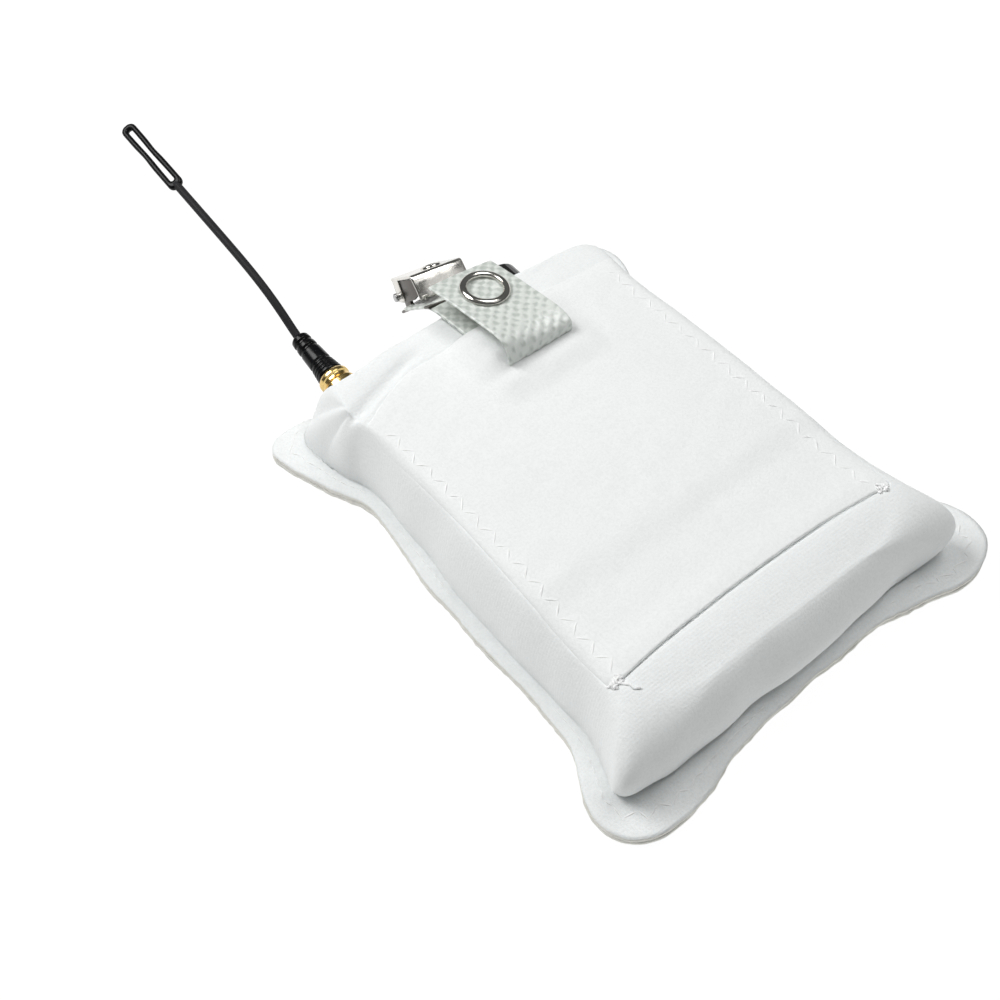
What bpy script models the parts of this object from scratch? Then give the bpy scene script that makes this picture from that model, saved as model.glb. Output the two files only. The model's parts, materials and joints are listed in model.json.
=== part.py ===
"""Bodypack transmitter in a stretch-knit pouch, with whip antenna, snap strap and spring clip.

Metres, +Z up. The pouch lies on its back panel at z = 0; +Y points to the antenna end, +X to the right
as seen from the front. Lengths below are in millimetres and every helper scales them by MM.
"""

import math

import bmesh
import bpy
from mathutils import Matrix, Vector

MM = 0.001
GAP = 0.3

# pouch
PANEL_T = 0.9
BODY_X, BODY_Y, BODY_R = 32.6, 44.6, 8.0
SHOULDER, SHOULDER_POWER = 6.0, 2.6
FLANGE_X, FLANGE_Y, FLANGE_R = 34.2, 47.0, 7.0
FLANGE_BOTTOM, FLANGE_TOP = 1.2, 2.1
FRONT_TOP, FRONT_T = 17.6, 1.0
LOBE_WIDTH = 10.5
LOBES = ((1, 1, 6.0, 3.6), (-1, 1, -5.5, 2.2), (-1, -1, -5.0, -4.3), (1, -1, 8.0, -3.8))
FLAP_X, FLAP_Y, FLAP_T = 30.0, 34.0, 0.8
MOUTH = (-25.0, 25.0, -6.0, 20.0)

# strap
STRAP_W, STRAP_T = 14.0, 0.6
STRAP_Z = 18.15
FOLD_Y = 22.9
SNAP_Y = 36.8
UPPER_Z = 22.6
UPPER_END = 43.2

# clip, in its own frame: x across, y to the tail, z out of the upper plate, origin on the ridge
CLIP_AT = (1.2, 49.2, 20.2)
CLIP_PITCH, CLIP_YAW = -40.0, -6.0
CLIP_HALF = 5.25
CLIP_T = 0.6
PIN_Y, PIN_Z = 8.5, -3.1
PLATE_Z = -4.95
LEAF_N = -5.85
RIVET_Y = 4.0

# transmitter
CASE_X, CASE_Y, CASE_LOW, CASE_HIGH, CASE_WALL = 29.2, 40.4, 1.4, 16.2, 1.5
PARTING = 4.8
SCREW_X, SCREW_Y = 23.3, 34.6
SOCKET_X, SOCKET_Z = 12.4, 10.0
CELL_R, CELL_L = 5.25, 44.5

# antenna, in its own frame: y along the connector
ANTENNA_AT = (-24.2, 41.5, 9.8)
ANTENNA_PITCH = 7.0
BOOT_END = 16.2
WHIP_R = 0.8
LOOP_ROLL = -20.0

for leftover in list(bpy.data.objects):
    bpy.data.objects.remove(leftover)

SCENE = bpy.context.scene
PARTS = bpy.data.collections.new("bodypack_in_pouch")
CUTTERS = bpy.data.collections.new("cutters")
SCENE.collection.children.link(PARTS)
SCENE.collection.children.link(CUTTERS)
CUTTERS.hide_render = True

WHITE_KNIT = ((0.90, 0.91, 0.92), 0.0, 0.95)
WHITE_THREAD = ((0.93, 0.93, 0.92), 0.0, 0.8)
VINYL = ((0.72, 0.75, 0.72), 0.0, 0.45)
NICKEL = ((0.72, 0.70, 0.66), 1.0, 0.22)
STEEL = ((0.55, 0.55, 0.56), 1.0, 0.35)
GOLD = ((0.83, 0.62, 0.28), 1.0, 0.25)
BLACK_GLOSS = ((0.012, 0.012, 0.013), 0.0, 0.3)
BLACK_MATT = ((0.03, 0.03, 0.032), 0.0, 0.6)
CASE_BLACK = ((0.02, 0.02, 0.022), 0.0, 0.5)
BOARD_GREEN = ((0.02, 0.16, 0.06), 0.0, 0.5)
PTFE = ((0.86, 0.86, 0.84), 0.0, 0.5)
CELL_SKIN = ((0.10, 0.16, 0.30), 0.2, 0.4)
GLASS_DARK = ((0.03, 0.04, 0.04), 0.0, 0.1)
LAMP = ((0.15, 0.65, 0.20), 0.0, 0.3)


# ------------------------------------------------------------------ helpers
def finish(obj, look, parent=None):
    """Give the object its own material and put it among the parts."""
    colour, metal, rough = look
    mat = bpy.data.materials.new(obj.name)
    mat.use_nodes = True
    shader = mat.node_tree.nodes["Principled BSDF"]
    shader.inputs["Base Color"].default_value = (*colour, 1.0)
    shader.inputs["Metallic"].default_value = metal
    shader.inputs["Roughness"].default_value = rough
    mat.diffuse_color = (*colour, 1.0)
    obj.data.materials.clear()
    obj.data.materials.append(mat)
    PARTS.objects.link(obj)
    if parent is not None:
        obj.parent = parent
    return obj


def helper(obj, parent=None):
    """Put the object among the cutters."""
    obj.hide_render = True
    obj.display_type = "WIRE"
    CUTTERS.objects.link(obj)
    if parent is not None:
        obj.parent = parent
    return obj


def mesh_object(name, points, faces=(), edges=()):
    data = bpy.data.meshes.new(name)
    data.from_pydata([[c * MM for c in p] for p in points], edges, faces)
    data.update()
    return bpy.data.objects.new(name, data)


def frame(name, at, matrix=None):
    """An empty whose axes carry a joint or a tilted assembly."""
    empty = bpy.data.objects.new(name, None)
    empty.empty_display_size = 0.005
    empty.matrix_world = Matrix.Translation(Vector(at) * MM) @ (matrix or Matrix.Identity(4))
    PARTS.objects.link(empty)
    return empty


def shaped(name, build):
    """A mesh object whose faces come from a bmesh function, facing out."""
    work = bmesh.new()
    build(work)
    bmesh.ops.recalc_face_normals(work, faces=work.faces)
    data = bpy.data.meshes.new(name)
    work.to_mesh(data)
    work.free()
    return bpy.data.objects.new(name, data)


def box_into(work, low, high):
    size = [(h - l) * MM for l, h in zip(low, high)]
    middle = [(h + l) / 2 * MM for l, h in zip(low, high)]
    bmesh.ops.create_cube(work, size=1.0, matrix=Matrix.Translation(middle) @ Matrix.Diagonal((*size, 1.0)))


def box(name, *corners):
    """One mesh of the boxes given as low, high, low, high and so on."""

    def build(work):
        for low, high in zip(corners[::2], corners[1::2]):
            box_into(work, low, high)

    return shaped(name, build)


AXES = {"X": Matrix.Rotation(math.pi / 2, 4, "Y"), "Y": Matrix.Rotation(-math.pi / 2, 4, "X"), "Z": Matrix.Identity(4)}


def rod_into(work, axis, start, length, radius, sides=20):
    """A cylinder from the point start, running length along +axis."""
    shift = Vector([length / 2 * (axis == a) for a in "XYZ"])
    place = Matrix.Translation((Vector(start) + shift) * MM) @ AXES[axis]
    bmesh.ops.create_cone(work, cap_ends=True, segments=sides, radius1=radius * MM, radius2=radius * MM,
                          depth=length * MM, matrix=place)


def rods(name, axis, length, radius, starts, sides=20):
    def build(work):
        for start in starts:
            rod_into(work, axis, start, length, radius, sides)

    return shaped(name, build)


def lathe(name, profile, axis="Z", at=(0, 0, 0), steps=24):
    """A profile of (radius, height) turned about the axis through the point at, height running along +axis.

    The profile runs down the outer side. A ring's profile is closed; a solid's starts and ends on the axis.
    """
    closed = profile[0][0] > 0
    edges = [(i, i + 1) for i in range(len(profile) - 1)]
    if closed:
        edges.append((len(profile) - 1, 0))
    obj = mesh_object(name, [(r, 0, h) for r, h in profile], edges=edges)
    turn = obj.modifiers.new("turn", "SCREW")
    turn.axis = "Z"
    turn.angle = 2 * math.pi
    turn.steps = turn.render_steps = steps
    turn.use_merge_vertices = True
    turn.merge_threshold = 1e-5
    obj.matrix_basis = Matrix.Translation(Vector(at) * MM) @ AXES[axis]
    return obj


def wire(name, path, radius, cyclic=False, resolution=1):
    """A round wire along the path, with filled ends."""
    data = bpy.data.curves.new(name, "CURVE")
    data.dimensions = "3D"
    data.bevel_depth = radius * MM
    data.bevel_resolution = resolution
    data.use_fill_caps = not cyclic
    spline = data.splines.new("POLY")
    spline.points.add(len(path) - 1)
    for point, place in zip(spline.points, path):
        point.co = (*[c * MM for c in place], 1.0)
    spline.use_cyclic_u = cyclic
    return bpy.data.objects.new(name, data)


def boolean(obj, other, operation="DIFFERENCE"):
    step = obj.modifiers.new(other.name, "BOOLEAN")
    step.operation = operation
    step.solver = "EXACT"
    step.object = other


def thicken(obj, thickness, offset):
    wall = obj.modifiers.new("thickness", "SOLIDIFY")
    wall.thickness = thickness * MM
    wall.offset = offset
    return obj


def soften(obj, width, segments=2, angle=40):
    edge = obj.modifiers.new("edges", "BEVEL")
    edge.width = width * MM
    edge.segments = segments
    edge.limit_method = "ANGLE"
    edge.angle_limit = math.radians(angle)
    return obj


# ------------------------------------------------------------------ outlines
def outline(half_x, half_y, radius, lobes=()):
    """A rounded rectangle, anticlockwise, with the same point count whatever its size; lobes pull its corners out."""
    points = []
    side_steps = ((1, -1, 0.0, 12), (1, 1, 90.0, 9), (-1, 1, 180.0, 12), (-1, -1, 270.0, 9))
    for number, (sx, sy, start, steps) in enumerate(side_steps):
        centre = Vector((sx * (half_x - radius), sy * (half_y - radius)))
        for i in range(7):
            angle = math.radians(start - 90 + 90 * i / 6)
            points.append(centre + radius * Vector((math.cos(angle), math.sin(angle))))
        sx2, sy2, start2 = side_steps[(number + 1) % 4][:3]
        first = points[-1]
        angle = math.radians(start2 - 90)
        last = Vector((sx2 * (half_x - radius), sy2 * (half_y - radius)))
        last = last + radius * Vector((math.cos(angle), math.sin(angle)))
        for i in range(1, steps):
            points.append(first.lerp(last, 0.4 * i / steps + 0.6 * (0.5 - 0.5 * math.cos(math.pi * i / steps))))
    if lobes:
        moved = []
        for p in points:
            shift = Vector((0.0, 0.0))
            for sx, sy, dx, dy in lobes:
                corner = Vector((sx * (half_x - 0.3 * radius), sy * (half_y - 0.3 * radius)))
                weight = math.exp(-(((p - corner).length / LOBE_WIDTH) ** 2.2))
                shift += weight * Vector((dx, dy))
            moved.append(p + shift)
        points = moved
    return points


def inside_distance(x, y, half_x, half_y, radius):
    qx, qy = abs(x) - (half_x - radius), abs(y) - (half_y - radius)
    return radius - math.hypot(max(qx, 0), max(qy, 0)) - min(max(qx, qy), 0)


def front_height(x, y):
    """Height of the front panel's outer face."""
    depth = inside_distance(x, y, BODY_X, BODY_Y, BODY_R)
    if depth >= SHOULDER:
        return FRONT_TOP
    fall = max(SHOULDER - max(depth, 0), 0) / SHOULDER
    return FLANGE_TOP + (FRONT_TOP - FLANGE_TOP) * (1 - fall**SHOULDER_POWER) ** (1 / SHOULDER_POWER)


def strap_x(y):
    """The strap runs a little skew, so its middle moves left towards the clip."""
    return 4.1 - 0.09 * (y - FOLD_Y)


# ------------------------------------------------------------------ pouch
def make_pouch():
    rim = outline(FLANGE_X, FLANGE_Y, FLANGE_R, LOBES)
    back = mesh_object("pouch_back_panel", [(p.x, p.y, 0.0) for p in rim], faces=[list(range(len(rim)))])
    thicken(back, PANEL_T, 1.0)
    finish(back, WHITE_KNIT)

    def dome(inset, top, low, shoulder, steps):
        rings = []
        for i in range(steps + 1):
            turn = math.pi / 2 * i / steps
            depth = shoulder * (1 - math.cos(turn) ** (2 / SHOULDER_POWER))
            height = low + (top - low) * math.sin(turn) ** (2 / SHOULDER_POWER)
            shape = outline(BODY_X - inset - depth, BODY_Y - inset - depth, max(BODY_R - inset - depth, 1.0))
            rings.append([(p.x, p.y, height) for p in shape])
        return rings

    outer = dome(0.0, FRONT_TOP, FLANGE_TOP, SHOULDER, 6)
    inner = dome(FRONT_T, FRONT_TOP - FRONT_T, FLANGE_BOTTOM, SHOULDER - 0.8, 5)
    rings = [[(p.x, p.y, FLANGE_BOTTOM) for p in rim], [(p.x, p.y, FLANGE_TOP) for p in rim]]
    rings += outer + inner[::-1]
    count = len(rim)
    points = [p for ring in rings for p in ring]
    faces = []
    for level in range(len(rings)):
        if level == 1 + len(outer):
            continue
        below, above = level * count, (level + 1) % len(rings) * count
        for i in range(count):
            j = (i + 1) % count
            faces.append((below + i, below + j, above + j, above + i))
    top_outer, top_inner = (1 + len(outer)) * count, (2 + len(outer)) * count
    faces.append([top_outer + i for i in range(count)])
    faces.append([top_inner + i for i in reversed(range(count))])
    front = mesh_object("pouch_front_panel", points, faces=faces)
    boolean(front, helper(box("cut_mouth", (MOUTH[0], MOUTH[2], 14.0), (MOUTH[1], MOUTH[3], 19.0))))
    boolean(front, helper(rods("cut_socket_hole", "Y", 12.0, 5.5, [(SOCKET_X, 38.0, SOCKET_Z)])))
    boolean(front, helper(rods("cut_antenna_hole", "Y", 12.0, 3.7, [(-24.2, 38.0, 10.0)])))
    finish(front, WHITE_KNIT)


def make_flap():
    columns, rows = 16, 18
    points, faces = [], []
    for j in range(rows + 1):
        y = -FLAP_Y + 2 * FLAP_Y * j / rows
        for i in range(columns + 1):
            x = -FLAP_X + 2 * FLAP_X * (0.5 - 0.5 * math.cos(math.pi * i / columns))
            across = min(1.0, max(0.0, (13.0 - abs(x - 3.4)) / 5.0))
            along = min(1.0, max(0.0, (y - 15.0) / 6.0))
            rise = 0.9 * across * along
            points.append((x, y, front_height(x, y) + GAP + rise))
    for j in range(rows):
        for i in range(columns):
            a = j * (columns + 1) + i
            faces.append((a, a + 1, a + columns + 2, a + columns + 1))
    flap = mesh_object("pouch_flap_panel", points, faces=faces)
    thicken(flap, FLAP_T, 1.0)
    x = strap_x(FOLD_Y)
    half = STRAP_W / 2 + 0.5
    boolean(flap, helper(box("cut_strap_slot", (x - half, FOLD_Y - 0.8, 17.0), (x + half, FOLD_Y + 1.1, 21.0))))
    boolean(flap, helper(rods("cut_hem_relief", "Z", 4.0, 3.8, [(strap_x(SNAP_Y), SNAP_Y, 17.0)])))
    finish(flap, WHITE_KNIT)
    for name, side in (("bar_tack_left", -1), ("bar_tack_right", 1)):
        x, y = side * (FLAP_X - 2.6), -FLAP_Y - 0.9
        low = front_height(side * (FLAP_X - 4.0), y) + GAP
        tack = box(name, (x - 1.4, y - 0.45, low), (x + 1.4, y + 0.5, low + 1.4))
        finish(soften(tack, 0.3, 1), WHITE_THREAD)


# ------------------------------------------------------------------ strap and snap
def strip(name, path, holes=()):
    """A flat band whose middle follows the (y, z) path."""
    points, faces = [], []
    for y, z in path:
        x = strap_x(y)
        points += [(x - STRAP_W / 2, y, z), (x + STRAP_W / 2, y, z)]
    for i in range(len(path) - 1):
        faces.append((2 * i, 2 * i + 1, 2 * i + 3, 2 * i + 2))
    band = thicken(mesh_object(name, points, faces=faces), STRAP_T, 0.0)
    band.modifiers["thickness"].use_even_offset = True
    for hole in holes:
        boolean(band, hole)
    return band


def clip_matrix():
    return Matrix.Rotation(math.radians(CLIP_PITCH), 4, "X") @ Matrix.Rotation(math.radians(CLIP_YAW), 4, "Z")


def clip_point(y, n):
    """World (y, z) of a point on the clip's middle plane before its yaw."""
    a = math.radians(CLIP_PITCH)
    return CLIP_AT[1] + y * math.cos(a) - n * math.sin(a), CLIP_AT[2] + y * math.sin(a) + n * math.cos(a)


def make_strap(clip):
    snap_x = strap_x(SNAP_Y)
    bend = [(FOLD_Y + 0.15, 19.7), (FOLD_Y + 0.15, 19.1), (FOLD_Y + 0.4, 18.5), (FOLD_Y + 1.1, 18.2)]
    flat = [(y, STRAP_Z) for y in (26.0, 30.0, 34.0, 38.0, 41.6)]
    first, last = clip_point(-2.6, LEAF_N), clip_point(7.6, LEAF_N)
    path = bend + flat + [(42.6, STRAP_Z - 0.22), first, last]
    stud_hole = helper(rods("cut_stud_hole", "Z", 4.0, 1.3, [(snap_x, SNAP_Y, 16.5)]))
    rivet_hole = helper(rods("cut_rivet_hole", "Z", 6.0, 1.3, [(0, RIVET_Y, -8.5)]), clip)
    lower = strip("strap_lower_leaf", path, (stud_hole, rivet_hole))
    finish(lower, VINYL)

    hinge = frame("strap_hinge", (strap_x(FOLD_Y), FOLD_Y, 20.2))
    arc = []
    for i in range(7):
        turn = math.radians(180 - 15 * i)
        arc.append((FOLD_Y + 4.6 + 4.6 * math.cos(turn), 20.15 + (UPPER_Z - 20.15) * math.sin(turn)))
    path = arc + [(32.0, UPPER_Z), (38.0, UPPER_Z), (UPPER_END, UPPER_Z - 0.3)]
    prong_hole = helper(rods("cut_prong_hole", "Z", 4.0, 2.3, [(snap_x, SNAP_Y, 20.5)]))
    upper = strip("strap_upper_leaf", path, (prong_hole,))
    finish(upper, VINYL)
    parts = [upper]
    top = UPPER_Z + STRAP_T / 2 + GAP
    cap = [(3.15, top + 0.12), (3.15, top + 0.7), (3.35, top + 1.0), (3.95, top + 1.15), (4.5, top + 0.9),
           (4.75, top + 0.5), (4.75, top)]
    parts.append(finish(lathe("snap_ring_cap", cap, at=(snap_x, SNAP_Y, 0), steps=30), NICKEL))
    under = UPPER_Z - STRAP_T / 2 - GAP
    ring = [(3.0, under - 0.3), (3.0, under), (4.6, under), (4.6, under - 0.3)]
    parts.append(finish(lathe("snap_prong_ring", ring, at=(snap_x, SNAP_Y, 0)), NICKEL))
    low = under - 0.3 - GAP
    socket = [(2.0, low - 1.7), (2.0, low), (3.6, low), (4.4, low - 0.5), (4.4, low - 1.2), (3.7, low - 1.7)]
    parts.append(finish(lathe("snap_socket", socket, at=(snap_x, SNAP_Y, 0)), NICKEL))
    bpy.context.view_layer.update()
    for part in parts:
        part.parent = hinge
        part.matrix_parent_inverse = hinge.matrix_world.inverted()
    base = STRAP_Z + STRAP_T / 2 + GAP
    stud = [(0.0, base + 2.3), (1.2, base + 2.3), (1.6, base + 2.0), (1.6, base + 1.5), (1.3, base + 1.1),
            (1.3, base + 0.4), (3.4, base + 0.35), (3.4, base), (1.0, base), (1.0, base - 1.0), (0.0, base - 1.0)]
    finish(lathe("snap_stud", stud, at=(snap_x, SNAP_Y, 0)), NICKEL)


# ------------------------------------------------------------------ clip
def profile_plate(name, path, half, thickness=CLIP_T):
    """A plate bent along the (y, z) path, as wide as twice half, centred on x = 0."""
    points, faces = [], []
    for y, z in path:
        points += [(-half, y, z), (half, y, z)]
    for i in range(len(path) - 1):
        faces.append((2 * i, 2 * i + 1, 2 * i + 3, 2 * i + 2))
    plate = thicken(mesh_object(name, points, faces=faces), thickness, 0.0)
    plate.modifiers["thickness"].use_even_offset = True
    return plate


def ear(name, x, y_low, y_high, z_low, z_high, parent):
    """A side ear of a jaw, joined to its plate."""
    return helper(box(name, (x - 0.3, y_low, z_low), (x + 0.3, y_high, z_high)), parent)


def round_ear(name, x, radius, z_high, parent):
    """A side ear whose lower end is round about the pin, so that it clears the other jaw as it turns."""
    rim = [(PIN_Y + radius, z_high), (PIN_Y - radius, z_high)]
    for i in range(11):
        turn = math.radians(180 + 18 * i)
        rim.append((PIN_Y + radius * math.cos(turn), PIN_Z + radius * math.sin(turn)))
    count = len(rim)
    points = [(x - 0.3, y, z) for y, z in rim] + [(x + 0.3, y, z) for y, z in rim]
    faces = [list(range(count)), list(range(2 * count - 1, count - 1, -1))]
    faces += [(i, i + count, (i + 1) % count + count, (i + 1) % count) for i in range(count)]
    plate = mesh_object(name, points, faces=faces)
    work = bmesh.new()
    work.from_mesh(plate.data)
    bmesh.ops.recalc_face_normals(work, faces=work.faces)
    work.to_mesh(plate.data)
    work.free()
    return helper(plate, parent)


def make_clip(clip):
    jaw_path = [(-1.5, -4.35), (-0.35, -0.35), (0.35, 0.0), (8.0, 0.0), (12.0, 0.45)]
    upper = profile_plate("clip_upper_jaw", jaw_path, CLIP_HALF)
    for side in (-1, 1):
        x = side * (CLIP_HALF - 0.35)
        boolean(upper, round_ear(f"upper_ear_{side + 1}", x, 1.45, 0.1, clip), "UNION")
    teeth = [(-3.9 + 2.6 * i, -3.0, -4.1) for i in range(4)]

    def notch(work):
        for x, y, z in teeth:
            place = Matrix.Translation(Vector((x, y, z - 0.55)) * MM) @ Matrix.Rotation(math.pi / 4, 4, "Y")
            bmesh.ops.create_cube(work, size=1.0, matrix=place @ Matrix.Diagonal((1.1e-3, 6e-3, 1.1e-3, 1.0)))

    boolean(upper, helper(shaped("cut_teeth", notch), clip))
    holes = rods("cut_upper_pin", "X", 16.0, 0.9, [(-8.0, PIN_Y, PIN_Z)])
    boolean(upper, helper(holes, clip))
    boolean(upper, helper(rods("cut_eyelet", "Z", 4.0, 1.2, [(0.8, RIVET_Y, -2.0)]), clip))
    finish(upper, NICKEL, clip)

    low_path = [(-4.2, PLATE_Z - 0.15), (-3.4, PLATE_Z), (8.5, PLATE_Z), (11.0, PLATE_Z - 0.5)]
    lower = profile_plate("clip_lower_jaw", low_path, CLIP_HALF - 0.2)
    for side in (-1, 1):
        x = side * (CLIP_HALF - 1.35)
        boolean(lower, ear(f"lower_ear_{side + 1}", x, PIN_Y - 1.5, PIN_Y + 1.5, PLATE_Z - 0.1, PIN_Z + 1.5, clip), "UNION")
    boolean(lower, helper(rods("cut_lower_pin", "X", 16.0, 0.9, [(-8.0, PIN_Y, PIN_Z)]), clip))
    boolean(lower, helper(rods("cut_lower_rivet", "Z", 6.0, 1.3, [(0, RIVET_Y, -8.5)]), clip))
    finish(lower, NICKEL, clip)

    pin = [(0.0, 6.3), (0.75, 6.3), (0.75, 5.7), (0.6, 5.6), (0.6, -5.6), (0.75, -5.7), (0.75, -6.3), (0.0, -6.3)]
    finish(lathe("clip_hinge_pin", pin, "X", (0, PIN_Y, PIN_Z), 12), STEEL, clip)

    coil, turns, per_turn = [], 4, 10
    for i in range(turns * per_turn + 1):
        turn = 2 * math.pi * i / per_turn
        across = -2.1 + 4.2 * i / (turns * per_turn)
        coil.append((across, PIN_Y + 1.25 * math.cos(turn), PIN_Z + 1.25 * math.sin(turn)))
    coil = [(-2.1, PIN_Y + 1.25, PIN_Z + 2.3)] + coil
    coil = coil + [(2.1, PIN_Y + 1.25, PIN_Z - 1.1)]
    finish(wire("clip_spring", coil, 0.27, resolution=0), STEEL, clip)

    spool = [(0.0, -3.75), (1.5, -3.75), (1.9, -4.05), (1.9, -4.35), (1.0, -4.35), (1.0, -6.45), (1.9, -6.45),
             (1.9, -6.8), (1.4, -7.05), (0.0, -7.05)]
    finish(lathe("clip_rivet", spool, "Z", (0, RIVET_Y, 0), 20), NICKEL, clip)


# ------------------------------------------------------------------ transmitter
def rounded_case(name, grow=0.0):
    def build(work):
        box_into(work, (-CASE_X, -CASE_Y, CASE_LOW), (CASE_X, CASE_Y, CASE_HIGH))
        bmesh.ops.bevel(work, geom=work.edges[:], offset=3.6 * MM, segments=3, profile=0.5, affect="EDGES")

    return shaped(name, build)


def make_case():
    wide, deep = CASE_X - CASE_WALL, CASE_Y - CASE_WALL
    corners = [(sx * SCREW_X, sy * SCREW_Y) for sx in (-1, 1) for sy in (-1, 1)]
    front = rounded_case("case_front_shell")
    hollow = ((-wide, -deep, -1.0), (wide, deep, CASE_HIGH - CASE_WALL))
    boolean(front, helper(box("cut_front_hollow", *hollow)))
    boolean(front, helper(rods("front_bosses", "Z", CASE_HIGH - 5.9, 2.4, [(x, y, PARTING + 0.4) for x, y in corners], 12)),
            "UNION")
    boolean(front, helper(box("cut_front_half", (-40, -50, -5), (40, 50, PARTING + 0.15))))
    boolean(front, helper(rods("cut_front_pilots", "Z", 9.0, 1.3, [(x, y, 1.0) for x, y in corners], 12)))
    boolean(front, helper(box("cut_display_window", (-12.0, 15.5, 13.0), (12.0, 26.5, 18.0))))
    boolean(front, helper(rods("cut_case_socket", "Y", 8.0, 4.75, [(SOCKET_X, 36.0, SOCKET_Z)])))
    boolean(front, helper(rods("cut_case_jack", "Y", 8.0, 3.1, [(-24.2, 36.0, 9.6)])))
    boolean(front, helper(rods("cut_case_button", "Y", 8.0, 2.6, [(-8.0, 36.0, 10.3)])))
    boolean(front, helper(rods("cut_case_lamp", "Y", 8.0, 1.3, [(0.0, 36.0, 10.3)], 12)))
    finish(front, CASE_BLACK)

    rear = rounded_case("case_rear_shell")
    boolean(rear, helper(box("cut_rear_hollow", (-wide, -deep, CASE_LOW + CASE_WALL), (wide, deep, 25.0))))
    boolean(rear, helper(rods("rear_bosses", "Z", 2.6, 2.75, [(x, y, CASE_LOW + 0.4) for x, y in corners], 12)), "UNION")
    boolean(rear, helper(box("cut_rear_half", (-40, -50, PARTING - 0.15), (40, 50, 25))))
    boolean(rear, helper(box("cut_door_hole", (-17, -33, -1), (17, 16, 3.5))))
    boolean(rear, helper(rods("cut_counterbores", "Z", 3.0, 2.2, [(x, y, -0.4) for x, y in corners], 14)))
    boolean(rear, helper(rods("cut_rear_pilots", "Z", 6.0, 1.3, [(x, y, 0.0) for x, y in corners], 12)))
    finish(rear, CASE_BLACK)

    door = box("battery_door", (-16.7, -32.7, CASE_LOW + 0.05), (16.7, 15.7, CASE_LOW + 1.2))
    finish(soften(door, 0.3, 1), CASE_BLACK)
    for number, (x, y) in enumerate(corners, 1):
        screw = [(0.0, 9.3), (1.0, 9.3), (1.0, 2.4), (1.9, 2.4), (1.9, 1.6), (0.0, 1.6)]
        finish(lathe(f"case_screw_{number}", screw, at=(x, y, 0), steps=12), STEEL)

    seal_x, seal_y = wide - GAP, deep - GAP
    seal = box("case_seal", (-seal_x, -seal_y, 4.0), (seal_x, seal_y, 5.6))
    boolean(seal, helper(box("cut_seal", (1.2 - seal_x, 1.2 - seal_y, 3.0), (seal_x - 1.2, seal_y - 1.2, 7.0))))
    finish(seal, BLACK_MATT)


def make_inside():
    low = -31.5
    for name, x, flip in (("battery_a", -8.0, 1), ("battery_b", 8.0, -1)):
        nub = 1.9
        body = [(0.0, CELL_L), (nub, CELL_L), (nub, CELL_L - 0.9), (CELL_R - 0.5, CELL_L - 1.1),
                (CELL_R, CELL_L - 1.6), (CELL_R, 0.4), (CELL_R - 0.4, 0.0), (0.0, 0.0)]
        cell = lathe(name, body, "Y", (x, low, 8.6), 16)
        if flip < 0:
            cell.matrix_basis = Matrix.Translation(Vector((x, low + CELL_L, 8.6)) * MM) @ Matrix.Rotation(math.pi / 2, 4, "X")
        finish(cell, CELL_SKIN)
    for name, x, y, away in (("battery_spring_a", -8.0, low - GAP, -1), ("battery_spring_b", 8.0, low + CELL_L + GAP, 1)):
        path = []
        for i in range(31):
            turn = 2 * math.pi * i / 10
            radius = 1.7 + 1.8 * i / 30
            path.append((x + radius * math.cos(turn), y + away * (0.3 + 3.0 * i / 30), 8.6 + radius * math.sin(turn)))
        finish(wire(name, path, 0.25, resolution=0), STEEL)
    plate = box("battery_link_plate", (-13.0, low - 4.7, 4.9), (13.0, low - 4.2, 13.0))
    finish(plate, STEEL)
    contact = box("battery_end_plate", (-13.0, low + CELL_L + 4.2, 4.9), (13.0, low + CELL_L + 4.7, 12.3))
    finish(contact, STEEL)
    finish(box("circuit_board", (-20.5, 18.6, 8.9), (2.6, 34.8, 9.9)), BOARD_GREEN)
    finish(soften(box("radio_shield_can", (-18.0, 20.0, 10.2), (-4.0, 33.0, 12.2)), 0.3, 1), STEEL)
    finish(box("display_module", (-13.5, 14.8, 12.7), (13.5, 27.2, 14.4)), GLASS_DARK)
    finish(soften(box("display_window", (-11.7, 15.8, 14.75), (11.7, 26.2, 16.1)), 0.2, 1), GLASS_DARK)
    button = [(0.0, 42.0), (1.9, 42.0), (2.3, 41.6), (2.3, 38.6), (3.2, 38.6), (3.2, 37.6), (0.0, 37.6)]
    finish(lathe("power_button", button, "Y", (-8.0, 0, 10.3), 20), BLACK_MATT)
    lamp = [(0.0, 41.3), (0.6, 41.2), (1.0, 40.8), (1.0, 37.4), (0.0, 37.4)]
    finish(lathe("status_light", lamp, "Y", (0.0, 0, 10.3), 12), LAMP)

    tube = [(3.9, 36.0), (3.9, 46.7), (4.2, 47.0), (4.8, 47.0), (5.1, 46.6), (5.1, 41.1), (4.4, 41.1), (4.4, 36.0)]
    finish(lathe("mic_socket_collar", tube, "Y", (SOCKET_X, 0, SOCKET_Z), 28), BLACK_GLOSS)
    disc = [(0.0, 38.2), (3.6, 38.2), (3.6, 36.2), (0.0, 36.2)]
    insert = lathe("mic_socket_insert", disc, "Y", (SOCKET_X, 0, SOCKET_Z), 20)
    starts = []
    for i in range(3):
        turn = math.radians(90 + 120 * i)
        starts.append((SOCKET_X + 1.9 * math.cos(turn), 37.5, SOCKET_Z + 1.9 * math.sin(turn)))
    boolean(insert, helper(rods("socket_pins", "Y", 4.0, 0.4, starts, 8)), "UNION")
    finish(insert, BLACK_MATT)


# ------------------------------------------------------------------ antenna
def whip_point(s):
    """Middle of the whip, s millimetres beyond the boot: it leaves straight, bows up and runs on level."""
    return 0.0, BOOT_END + s, 4.6 * (1 - math.exp(-((max(s, 0) / 8.0) ** 1.4)))


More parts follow.
